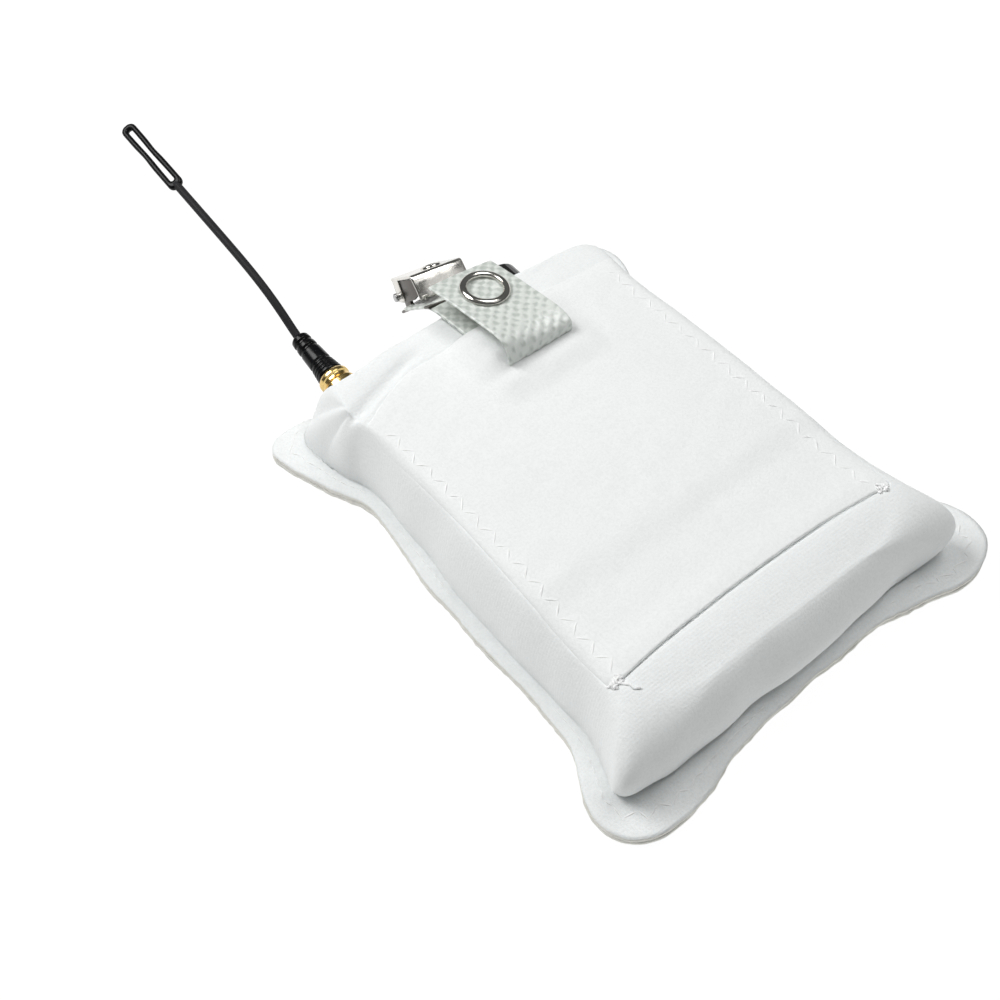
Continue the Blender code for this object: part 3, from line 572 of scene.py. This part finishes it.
def shell_rings():
    """The front panel from its cut edge in over the flange, up the wall and across the top."""
    flange_steps, wall_steps, top_steps = 11, 33, 30
    outer = OUTER + 0.22 * EDGE_DRIFT + 0.07 * EDGE_FRAY
    crease = CREASE + 0.15 * np.roll(EDGE_DRIFT, 40, axis=0)
    crease[:, 1] += 0.9 * smooth(-40, -43.5, crease[:, 1])
    rings = []
    for i in range(flange_steps + 1):
        out = 1 - i / flange_steps
        xy = crease + (outer - crease) * out
        rings.append(np.column_stack([xy, flange_height(xy[:, 0], xy[:, 1], out)]))
    low, top = rings[-1][:, 2] - 0.25, top_height(*SHOULDER.T)
    px, py = crease[:, 0], crease[:, 1]
    inward = SHOULDER - crease
    inward /= np.linalg.norm(inward, axis=1)[:, None]
    tuck = 1.55 * smooth(-36, -43, py) + 0.35
    for i in range(wall_steps + 1):
        across, up = wall_profile(i, wall_steps, squareness(px, py), smooth(-38, -43, py))
        bulge = tuck * np.sin(np.pi * np.clip(up, 0, 1)) ** 0.8 * (1 - up) ** (1 - 0.6 * smooth(-34, -42, py))
        x, y = (crease + (SHOULDER - crease) * across[:, None] - inward * (1.6 * bulge)[:, None]).T
        z = low + (top - low) * up
        z = z - 4.6 * smooth(11, 19, x) * smooth(33, 29, x) * smooth(40.8, 44.4, y) * up
        z = z - 2.0 * np.exp(-(((x + 23.5) / 5.5) ** 2)) * smooth(39.5, 43.5, y) * up
        z = z + 0.12 * ripple(x + z, y - z, 14, 31) * (1 - up)
        rings.append(np.column_stack([x, y, z]))
    middle = loop(1.4, 13.2, 0.6)
    for i in range(1, top_steps + 1):
        x, y = (SHOULDER + (middle - SHOULDER) * i / top_steps).T
        rings.append(np.column_stack([x, y, top_height(x, y)]))
    return rings


def cut_along_slit(points, faces):
    """The mesh with three rows of edges added along the slit, so that its lip can be sharp."""
    warped = points.copy()
    warped[:, 1] -= slit_shift(points[:, 0])
    data = bpy.data.meshes.new("cut")
    data.from_pydata(warped.tolist(), [], faces)
    work = bmesh.new()
    work.from_mesh(data)
    for at in (SLIT_AT - 0.22, SLIT_AT - 0.08, SLIT_AT + 0.05):
        near = [f for f in work.faces if len(f.verts) < 9 and f.calc_center_median().z > 13
                and abs(f.calc_center_median().y - at) < 3]
        geom = set(near)
        for f in near:
            geom.update(f.verts)
            geom.update(f.edges)
        bmesh.ops.bisect_plane(work, geom=list(geom), plane_co=(0, at, 0), plane_no=(0, 1, 0))
    work.to_mesh(data)
    work.free()
    cut = np.array([v.co for v in data.vertices])
    cut[:, 1] += slit_shift(cut[:, 0])
    return cut, [tuple(p.vertices) for p in data.polygons]


def sunk_under_flap(points):
    """The points with the ones under the flap lowered, and the slit's lip turned down a little."""
    x, y, z = points.T
    beyond, on_top = y - slit_y(x), z > 12
    under = smooth(0.0, 0.9, x - flap_left(y)) * smooth(0.0, 0.9, FLAP_RIGHT - x)
    under = under * smooth(0.2, 1.2, hem_y(x) - y) * smooth(-0.10, 0.04, beyond) * on_top
    lip = np.exp(-((np.clip(-0.1 - beyond, 0, 9) / 0.3) ** 2)) * (beyond < -0.05)
    lip = lip * smooth(28.8, 27, np.abs(x)) * on_top
    return np.column_stack([x, y, z - (0.85 - 0.4 * smooth(10, 20, x)) * under - 0.12 * lip])


def make_shell():
    """The front panel, and a search tree of its surface before the flap presses it in."""
    rings = shell_rings()
    under = rings[0].copy()
    under[:, 2] -= 0.85
    tucked = under.copy()
    tucked[:, :2] += 3.0 * INWARD
    rings = [tucked, under] + rings
    points = np.concatenate(rings)
    faces = quads(len(rings), N, around=True)
    last = (len(rings) - 1) * N
    faces.append(tuple(range(last, last + N)))
    tree = BVHTree.FromPolygons((points * MM).tolist(), faces)

    points, faces = cut_along_slit(points, faces)
    points = sunk_under_flap(points)
    x, y, z = np.array([points[list(f)].mean(axis=0) for f in faces]).T
    in_socket = (np.hypot(x - SOCKET_X, z - SOCKET_Z) < SOCKET_HOLE) & (y > 38)
    faces = [f for f, hole in zip(faces, in_socket) if not hole]
    shell = piece("pouch_front", points, faces, CLOTH, ["pouch_front_panel"])
    cut_edged(shell, 0, 2 * N)
    return shell, tree


def drape(tree, x, y, lift=0.0):
    """The point of the surface above (x, y), raised along its normal."""
    above = 40.0
    hit, normal, _, _ = tree.ray_cast(Vector((x * MM, y * MM, above * MM)), Vector((0, 0, -1)))
    if hit is None:
        return np.array([x, y, 2.0 + lift])
    if normal.z < 0:
        normal = -normal
    return np.array(hit) / MM + lift * np.array(normal)


def flap_rise(x, y):
    """The strap's lower leaf runs under the flap's hem and lifts it, with a mound beside the strap."""
    across = np.clip((13.0 - abs(x - 3.4)) / 5.0, 0, 1)
    along = np.clip((y - 15.0) / 6.0, 0, 1)
    beside = 2.1 * math.exp(-(((x + 2.8) / 3.6) ** 2)) * float(smooth(21.5, 26.0, y) * smooth(36.5, 31.5, y))
    return 0.9 * (across * across * (3 - 2 * across)) * (along * along * (3 - 2 * along)) + beside


def eased(count):
    """Numbers from 0 to 1, closer together at both ends."""
    even = np.linspace(0, 1, count)
    return 0.6 * (0.5 - 0.5 * np.cos(np.pi * even)) + 0.4 * even


def make_flap(tree):
    columns, rows, half = 190, 220, 0.33
    top, bottom = [], []
    for b in eased(rows):
        for a in eased(columns):
            x = -29.2 + 59.2 * a
            low = slit_y(x) + 0.3 - 0.22 * (x / SLIT_HALF) ** 4
            left = flap_left(low * (1 - b) + hem_y(x) * b) + 0.15
            width = FLAP_RIGHT - left
            x = left + width * a
            y = low * (1 - b) + hem_y(x) * b
            height = hem_y(x) - slit_y(x)
            edge = min(width * a, 60 * (1 - a), height * b, height * (1 - b))
            roll = math.sqrt(max(0.0, 1 - (1 - min(edge / 0.42, 1.0)) ** 2))
            base = drape(tree, x, y)[2] + flap_rise(x, y) * float(smooth(0.0, 5.0, 34.2 - y) * 0.35 + 0.65)
            base -= 0.7 * math.exp(-(((x + 28.9) / 1.0) ** 2) - (((y + 33.6) / 0.8) ** 2))
            base -= 0.3 * math.exp(-(((x - 28.9) / 1.0) ** 2) - (((y + 33.9) / 0.8) ** 2))
            puff = 0.10 + 0.14 * float(smooth(0, 2.5, edge))
            puff += 0.04 * float(ripple(x, y, 6, 41)) * float(smooth(0, 4, edge))
            top.append((x, y, base + puff - half * (1 - roll)))
            bottom.append((x, y, base - half - half * roll))
    faces = sheet_faces(rows, columns)
    return normals_out(piece("pouch_flap", top + bottom, faces, BRUSHED, ["pouch_flap_panel"]))


def make_back():
    """The back panel, one layer under the front's edge, with its own cut line."""
    outer = OUTER + 0.22 * EDGE_DRIFT + 0.09 * np.roll(EDGE_FRAY, 7, axis=0)
    outer = outer + 0.12 * np.roll(EDGE_DRIFT, 90, axis=0)
    lift = np.maximum(flange_height(outer[:, 0], outer[:, 1], 1.0) - EDGE_Z, 0)
    inner, deep = outer + 2.5 * INWARD, outer * 0.86
    layers = ((deep, np.full(N, 1.05)), (inner, 1.1 + lift * 0.8), (outer, 1.17 + lift),
              (outer * 1.001, 0.6 + lift), (outer, 0.1 + lift * 0.9), (inner, 0.02 + lift * 0.3),
              (deep, np.zeros(N)))
    rings = [np.column_stack(layer) for layer in layers]
    faces = quads(len(rings), N, around=True, flip=True)
    faces.append(tuple(range(N)))
    faces.append(tuple(reversed(range((len(rings) - 1) * N, len(rings) * N))))
    back = piece("pouch_back", np.concatenate(rings), faces, CLOTH, ["pouch_back_panel"])
    cut_edged(back, N, 4 * N)
    return normals_out(back)


# ------------------------------------------------------------------ stitching
def stitch(tree, a, b, lift, sag):
    """One stitch from needle hole a to needle hole b, bowed up between them."""
    path = []
    for t in np.arange(7) / 6:
        x, y = a[0] + (b[0] - a[0]) * t, a[1] + (b[1] - a[1]) * t
        path.append(drape(tree, x, y, lift - sag + 2 * sag * math.sin(math.pi * t)))
    return path


def zigzag(name, tree, holes, radius):
    """A row of stitches through the holes, skipping the ones marked as having no room."""
    paths = [stitch(tree, a[:2], b[:2], -0.10, 0.10) for a, b in zip(holes, holes[1:]) if a[2] and b[2]]
    threads(name, paths, radius)


def make_stitches(tree, flap_tree):
    rng = np.random.default_rng(5)
    for name, side, end in (("flap_zigzag_left", -1, 27.0), ("flap_zigzag_right", 1, 33.0)):
        holes, y, k = [], -32.2, 0
        while y < end:
            edge = flap_left(y) if side < 0 else 29.2
            x = edge - side * (1.5 + 2.0 * (k % 2)) + rng.uniform(-0.15, 0.15)
            holes.append((float(x), y + rng.uniform(-0.15, 0.15), True))
            y += 2.05
            k += 1
        zigzag(name, flap_tree, holes, 0.16)
    stride, width = 1.9, np.linalg.norm(CREASE - OUTER, axis=1)
    gap = distances(OUTER + 3.4 * INWARD)
    holes = []
    for k in range(int(gap[-1] / stride)):
        i = int(np.searchsorted(gap, k * stride)) % N
        at = OUTER[i] + INWARD[i] * min(0.62 * width[i], 2.6 + 1.9 * (k % 2))
        holes.append((float(at[0]), float(at[1]), width[i] > 2.6))
    zigzag("flange_zigzag", tree, holes, 0.15)


def make_tacks(flap_tree):
    rng = np.random.default_rng(11)
    for name, side, node in (("tack_left", -1, "bar_tack_left"), ("tack_right", 1, "bar_tack_right")):
        paths = []
        cx, cy = (-28.0, -33.6) if side < 0 else (28.3, -33.7)
        for _ in range(26):
            x, y = cx + rng.normal(0, 0.55), cy + rng.normal(0, 0.32)
            turn, half = rng.uniform(0, math.pi), rng.uniform(0.3, 0.55)
            a = (x - half * math.cos(turn), y - half * math.sin(turn))
            b = (x + half * math.cos(turn), y + half * math.sin(turn))
            paths.append(stitch(flap_tree, a, b, rng.uniform(0.0, 0.3), 0.12))
        if side < 0:
            tail = ((0.4, -0.6), (1.2, -1.5), (1.3, -2.4), (2.1, -3.0))
            paths.append([drape(flap_tree, cx + x, cy + y, 0.12) for x, y in tail])
        threads(name, paths, 0.2, replaces=[node])


# ------------------------------------------------------------------ strap
CLIP = (Matrix.Translation((1.0, 49.2, 20.0)) @ Matrix.Rotation(math.radians(-42), 4, "X")
        @ Matrix.Rotation(math.radians(8), 4, "Y") @ Matrix.Rotation(math.radians(-3), 4, "Z"))


def clip_side(y, n):
    """The world's (y, z) of a point y along and n above the CAD clip."""
    a = math.radians(CLIP_PITCH)
    return 49.2 + y * math.cos(a) - n * math.sin(a), 20.2 + y * math.sin(a) + n * math.cos(a)


def resample(path, step, rounds=3):
    """The (y, z) path with its corners eased, at an even step."""
    path = np.array(path, float)
    for _ in range(rounds):
        fine = [path[0]]
        for a, b in zip(path, path[1:]):
            fine += [0.75 * a + 0.25 * b, 0.25 * a + 0.75 * b]
        path = np.array(fine + [path[-1]])
    gap = distances(path)
    at = np.linspace(0, gap[-1], int(gap[-1] / step) + 1)
    return np.column_stack([np.interp(at, gap, path[:, k]) for k in range(path.shape[1])]), at


def make_strap():
    """One band from the clip under the flap's hem, round the fold and back over the snap."""
    fold = [math.radians(180 - 15 * i) for i in range(7)]
    path = [clip_side(6.6, -5.1), clip_side(-1.9, -5.1), (42.6, 17.93), (41.6, 18.15), (34, 18.15),
            (26, 18.15), (24.0, 18.2), (23.3, 18.5), (23.0, 19.1)]
    path += [(27.5 + 4.6 * math.cos(turn), 20.15 + 2.45 * math.sin(turn)) for turn in fold]
    path, at = resample(path + [(32.0, 22.6), (38.0, 22.6), (43.2, 22.3)], 0.2)
    across = np.linspace(-STRAP_HALF, STRAP_HALF, 71)
    inset = STRAP_HALF - np.abs(across)
    edge = 0.3 * np.sqrt(np.clip(1 - (1 - np.clip(inset / 0.3, 0, 1)) ** 2, 0, 1))
    run = directions(path)
    normal = np.column_stack([run[:, 1], -run[:, 0]])
    sheets, uv = [], []
    for side in (1, -1):
        for (y, z), (ny, nz), s in zip(path, normal, at):
            bump = 0.05 * np.sin(across * math.tau / WEAVE) * np.sin(s * math.tau / WEAVE) * side
            push = side * (edge + 0.02) + bump * np.clip(inset / 0.8, 0, 1)
            u, t = across / STRAP_HALF, (y - 27) / 16
            curl = (-1.03 * u + (0.5 - 0.75 * t) * u * u) * float(smooth(20.3, 22.3, z))
            sheets.append(np.column_stack([strap_x(y) + across, y + ny * push, z + nz * push + curl]))
            uv += [(a, s) for a in across]
    faces = sheet_faces(len(path), len(across))
    band = piece("strap_band", np.concatenate(sheets), faces, VINYL, body=None)
    normals_out(band)
    layer = band.data.uv_layers.new(name="weave")
    corner = np.zeros(len(band.data.loops), int)
    band.data.loops.foreach_get("vertex_index", corner)
    layer.data.foreach_set("uv", np.array(uv)[corner].ravel())
    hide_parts("strap_lower_leaf", "strap_upper_leaf")
    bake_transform(band)


def make_snap():
    y = 36.8
    stand = (Matrix.Translation((strap_x(y), y, 23.0)) @ Matrix.Rotation(math.radians(8.4), 4, "Y")
             @ Matrix.Translation((0, 0, -22.95)) @ Matrix.Rotation(math.pi / 2, 4, "X"))
    ring = [(3.18, 23.22), (3.16, 23.4), (3.26, 23.62), (3.5, 23.78), (3.75, 23.83), (3.95, 23.83),
            (4.15, 23.76), (4.4, 23.58), (4.55, 23.38), (4.56, 23.22)]
    points, faces = turned(ring, stand, 96)
    normals_out(piece("snap_ring", points, faces, NICKEL, ["snap_ring_cap"], "strap_upper"))


# ------------------------------------------------------------------ clip
def bent_plate(path, half, thickness, rounds=3):
    """A plate bent along the (y, z) path in the clip's frame, with rolled long edges."""
    path, _ = resample(path, 0.25, rounds)
    run = directions(path)
    normal = np.column_stack([-run[:, 1], run[:, 0]])
    section = []
    r = thickness / 2
    for side in (1, -1):
        for i in range(7):
            turn = math.radians((90 if side > 0 else 270) - 30 * i)
            section.append((side * (half - r) + r * math.cos(turn), r * math.sin(turn)))
    points = []
    for (y, z), (ny, nz) in zip(path, normal):
        points += [(a, y + ny * b, z + nz * b) for a, b in section]
    k = len(section)
    faces = quads(len(path), k, around=True)
    faces += [tuple(reversed(range(k))), tuple(range((len(path) - 1) * k, len(path) * k))]
    return points, faces


def box(low, high):
    points = [(x, y, z) for x in (low[0], high[0]) for y in (low[1], high[1]) for z in (low[2], high[2])]
    return points, [(0, 1, 3, 2), (4, 6, 7, 5), (0, 4, 5, 1), (2, 3, 7, 6), (0, 2, 6, 4), (1, 5, 7, 3)]


def ears(away, y_low, y_high, z_low, z_high):
    """Two upright lugs for the hinge pin, away from the middle on each side."""
    half = 0.3
    return [box((s * away - half, y_low, z_low), (s * away + half, y_high, z_high)) for s in (-1, 1)]


def clip_piece(name, parts, mat, replaces, body, bevel):
    points, faces = joined(parts)
    obj = piece(name, moved(CLIP, points), faces, mat, replaces, body)
    normals_out(obj)
    if bevel:
        bevelled(obj, bevel)


def tooth(x):
    root = [(x - 0.75, -1.2, -3.7), (x + 0.75, -1.2, -3.7), (x + 0.75, -1.75, -3.7), (x - 0.75, -1.75, -3.7)]
    point = [(x, -1.35, -4.65), (x, -1.8, -4.65)]
    return root + point, [(0, 1, 4), (1, 2, 5, 4), (2, 3, 5), (3, 0, 4, 5), (0, 3, 2, 1)]


def cheek(x):
    """A side wall of the jaw, from x to a little further right."""
    side = [(-0.1, -0.5), (9.9, -0.2), (9.9, -4.3), (7.0, -4.5), (2.4, -4.2), (-1.0, -3.2)]
    k = len(side)
    corners = [(x, y, z) for y, z in side] + [(x + 0.4, y, z) for y, z in side]
    walls = [(i, (i + 1) % k, (i + 1) % k + k, i + k) for i in range(k)]
    return corners, [tuple(range(k)), tuple(reversed(range(k, 2 * k)))] + walls


def make_jaw():
    upper = bent_plate([(-1.5, -4.35), (-0.45, -0.5), (-0.1, 0.0), (0.5, 0.0), (8.0, 0.0), (10.2, 0.1)],
                       5.25, 0.6, 1)
    eyelet = turned([(1.2, 0.2), (1.15, 0.6), (1.5, 0.75), (1.95, 0.55), (2.05, 0.25)],
                    Matrix.Translation((0.8, 4.0, 0.0)) @ Matrix.Rotation(math.pi / 2, 4, "X"), 40)
    teeth = [tooth(-4.2 + 2.1 * i) for i in range(5)]
    plate = [upper, *ears(4.9, 7.05, 9.95, -4.2, 0.1), *teeth, eyelet]
    # The cheeks take the nickel darkened with painted shade.
    clip_piece("clip_cheeks", [cheek(-4.95), cheek(4.55)], NICKEL_IN_PAINTED_SHADE, [], "clip_jaw", 0.05)
    clip_piece("clip_top_plate", plate, NICKEL, ["clip_upper_jaw"], "clip_jaw", 0.08)


def make_clip_base():
    lower = bent_plate([(-3.6, -5.95), (-2.6, -5.8), (8.5, -5.8), (11.0, -6.2)], 5.05, 0.55)
    root = [(-1.6, -3.4, -6.2), (0.2, -3.4, -6.2), (0.2, -3.4, -5.8), (-1.6, -3.4, -5.8)]
    point = [(-0.6, -4.9, -6.5), (-0.6, -4.9, -6.3)]
    spike = root + point, [(0, 1, 2, 3), (0, 4, 1), (3, 2, 5), (0, 3, 5, 4), (1, 4, 5, 2)]
    plate = [lower, *ears(3.9, 7.0, 10.0, -5.85, -1.6), spike]
    # The base plate takes the nickel darkened with painted shade.
    clip_piece("clip_base_plate", plate, NICKEL_IN_PAINTED_SHADE, ["clip_lower_jaw"], "clip_base", 0.08)
    y, z, reach, turns, steps = 8.5, -3.1, 2.1, 4, 24
    half = [(0.0, 6.3), (0.8, 6.3), (0.8, 5.7), (0.6, 5.6)]
    rod = [(r, -h) for r, h in half] + half[::-1]
    turn = Matrix.Translation((0, y, z)) @ Matrix.Rotation(-math.pi / 2, 4, "Z")
    pin = turned(rounded(rod, 0.12), turn, 28)
    clip_piece("clip_pin", [pin], STEEL, ["clip_hinge_pin"], "clip_base", 0)
    coil = [(-reach, 9.75, -0.8), (-reach, 9.75, -2.0)]
    for i in range(turns * steps + 1):
        t = math.tau * i / steps
        coil.append((reach * (2 * i / (turns * steps) - 1), y + 1.25 * math.cos(t), z + 1.25 * math.sin(t)))
    coil.append((reach, 9.75, -4.2))
    clip_piece("clip_coil", [tube(coil, 0.27, 8)], STEEL, ["clip_spring"], "clip_base", 0)


# ------------------------------------------------------------------ antenna
AERIAL = Matrix.Translation((-24.2, 41.5, 9.8)) @ Matrix.Rotation(math.radians(7), 4, "X")


def whip_at(s):
    """The whip's middle line, s along it from the boot's mouth: bent near the boot, then nearly straight."""
    return 0.0, 16.2 + s, 4.6 * (1 - math.exp(-((max(s, 0) / 8.0) ** 1.4)))


def make_connector():
    boot = [(0.0, 16.5), (0.9, 16.5), (1.5, 16.2), (1.75, 15.9), (1.85, 15.0), (1.6, 14.75), (1.6, 14.35),
            (1.9, 14.1), (1.95, 13.3), (1.7, 13.05), (1.7, 12.7), (2.0, 12.45), (2.15, 9.5), (1.9, 9.3),
            (1.9, 9.0), (2.22, 8.8), (2.28, 8.4), (2.12, 8.3), (2.12, 8.15), (2.34, 8.05), (2.4, 7.7),
            (2.24, 7.6), (2.24, 7.45), (2.44, 7.35), (2.5, 7.0), (2.34, 6.9), (2.34, 6.75), (2.56, 6.65),
            (2.58, 6.3), (2.5, 6.05), (0.0, 6.05)]
    points, faces = turned(rounded(boot, 0.1), AERIAL, 64)
    normals_out(piece("whip_boot", points, faces, BOOT, ["antenna_boot"], "antenna_base"))
    sleeve = [(2.35, 2.0), (2.35, 5.9), (2.6, 5.9), (3.0, 5.35), (3.0, 4.75), (2.72, 4.5), (2.72, 3.9),
              (3.25, 3.2), (3.25, 2.0)]
    points, faces = turned(sleeve, AERIAL, 64)
    shield = piece("connector_sleeve", points, faces, GOLD, ["antenna_connector"], "antenna_base",
                   sharp=True)
    bevelled(normals_out(shield), 0.08)


def make_tip(end):
    """The rubber loop on the whip's end: a round section swept between an outer rim and a slot."""
    sides, forward = 14, 8.75
    tilt = AERIAL @ Matrix.Translation((0, end[1], end[2])) @ Matrix.Rotation(math.radians(-20), 4, "Y")
    rim, slot = loop(1.55, 9.7, 1.35)[::3], loop(0.42, 8.1, 0.42)[::3] + np.array([0.0, 0.3])
    rim[:, 0] *= 1 - 0.09 * np.exp(-(((rim[:, 1] - 1.0) / 2.2) ** 2))
    slot[:, 0] *= 1 - 0.25 * np.exp(-(((slot[:, 1] - 0.5) / 4.0) ** 2))
    points = []
    for (ox, oy), (ix, iy) in zip(rim, slot):
        for k in range(sides):
            turn = math.tau * k / sides
            near = 0.5 - 0.5 * math.copysign(abs(math.cos(turn)) ** 0.8, math.cos(turn))
            height = 0.66 * math.copysign(abs(math.sin(turn)) ** 0.8, math.sin(turn))
            points.append((ox + (ix - ox) * near, oy + (iy - oy) * near + forward, height))
    last = (len(rim) - 1) * sides
    faces = quads(len(rim), sides, around=True)
    faces += [(last + k, last + (k + 1) % sides, (k + 1) % sides, k) for k in range(sides)]
    points = moved(tilt, points)
    normals_out(piece("whip_tip", points, faces, TIP, ["antenna_tip_loop"], "antenna_mast"))


def make_antenna():
    make_connector()
    length, steps = 41.0, 70
    path = [whip_at(-1.0)] + [whip_at(length * (i / steps) ** 1.1) for i in range(steps + 1)]
    points, faces = tube(path, 0.78, 20)
    points = moved(AERIAL, points)
    normals_out(piece("whip_rod", points, faces, WHIP, ["antenna_whip"], "antenna_mast"))
    make_tip(path[-1])


def surface_of(*objects):
    """A search tree of the objects' surfaces together."""
    points, faces = joined(
        ([v.co for v in obj.data.vertices], [tuple(p.vertices) for p in obj.data.polygons]) for obj in objects
    )
    return BVHTree.FromPolygons(points, faces)


shell, filled = make_shell()
flap = make_flap(filled)
back = make_back()
covered = surface_of(flap, shell)
make_stitches(filled, covered)
make_tacks(covered)
make_strap()
make_snap()
make_jaw()
make_clip_base()
make_antenna()


# ------------------------------------------------------------------ floor, light and camera
def stage_material():
    mat = bpy.data.materials.new("floor")
    mat.use_nodes = True
    tree = mat.node_tree
    tree.nodes.clear()
    out = new(tree, "ShaderNodeOutputMaterial")
    mix = new(tree, "ShaderNodeAddShader")
    glow = new(tree, "ShaderNodeEmission")
    glow.inputs["Strength"].default_value = 0.93
    dull = new(tree, "ShaderNodeBsdfDiffuse")
    dull.inputs["Color"].default_value = (0.12, 0.12, 0.12, 1)
    link(tree, glow.outputs[0], mix.inputs[0])
    link(tree, dull.outputs[0], mix.inputs[1])
    link(tree, mix.outputs[0], out.inputs["Surface"])
    return mat


def make_stage():
    data = bpy.data.meshes.new("floor")
    half, below = 3.0, -0.0002
    corners = [(x * half, y * half, below) for x, y in ((-1, -1), (1, -1), (1, 1), (-1, 1))]
    data.from_pydata(corners, [], [(0, 1, 2, 3)])
    floor = bpy.data.objects.new("floor", data)
    SCENE.collection.objects.link(floor)
    data.materials.append(stage_material())


def area(name, place, size, power):
    data = bpy.data.lights.new(name, "AREA")
    data.shape, data.size, data.energy = "SQUARE", size, power
    lamp = bpy.data.objects.new(name, data)
    lamp.location = place
    lamp.rotation_euler = (Vector((0, 0, 0.01)) - Vector(place)).to_track_quat("-Z", "Y").to_euler()
    SCENE.collection.objects.link(lamp)


def make_light():
    area("key", (-0.25, 0.36, 0.56), 0.35, 3.3)
    area("top", (0.30, 0.02, 0.86), 0.45, 3.0)
    area("panel", (0.35, -0.38, 0.74), 0.4, 0.32)
    world = bpy.data.worlds.new("studio")
    world.use_nodes = True
    tree = world.node_tree
    shade = tree.nodes["Background"]
    coords = new(tree, "ShaderNodeTexCoord")
    parts = new(tree, "ShaderNodeSeparateXYZ")
    link(tree, coords.outputs["Generated"], parts.inputs[0])
    spread = new(tree, "ShaderNodeMapRange")
    spread.inputs["From Min"].default_value, spread.inputs["From Max"].default_value = -0.2, 0.9
    spread.inputs["To Min"].default_value, spread.inputs["To Max"].default_value = 0.08, 0.12
    link(tree, parts.outputs["Z"], spread.inputs["Value"])
    link(tree, spread.outputs[0], shade.inputs["Strength"])
    shade.inputs["Color"].default_value = (0.97, 1.0, 1.0, 1)
    SCENE.world = world


def make_camera():
    data = bpy.data.cameras.new("camera")
    data.sensor_width, data.lens, data.clip_start, data.clip_end = 36.0, 48.57, 0.01, 20.0
    camera = bpy.data.objects.new("camera", data)
    SCENE.collection.objects.link(camera)
    turn, rise, roll = math.radians(-36.12), math.radians(53.95), math.radians(-2.62)
    back = Vector((math.sin(turn) * math.cos(rise), -math.cos(turn) * math.cos(rise), math.sin(rise)))
    right = Vector((math.cos(turn), math.sin(turn), 0.0))
    up = back.cross(right)
    right, up = right * math.cos(roll) + up * math.sin(roll), up * math.cos(roll) - right * math.sin(roll)
    place = Matrix((right, up, back)).transposed().to_4x4()
    place.translation = Vector((-0.09558, -0.09969, 0.19163))
    camera.matrix_world = place
    SCENE.camera = camera


make_stage()
make_light()
make_camera()
SCENE.view_settings.view_transform = "Standard"
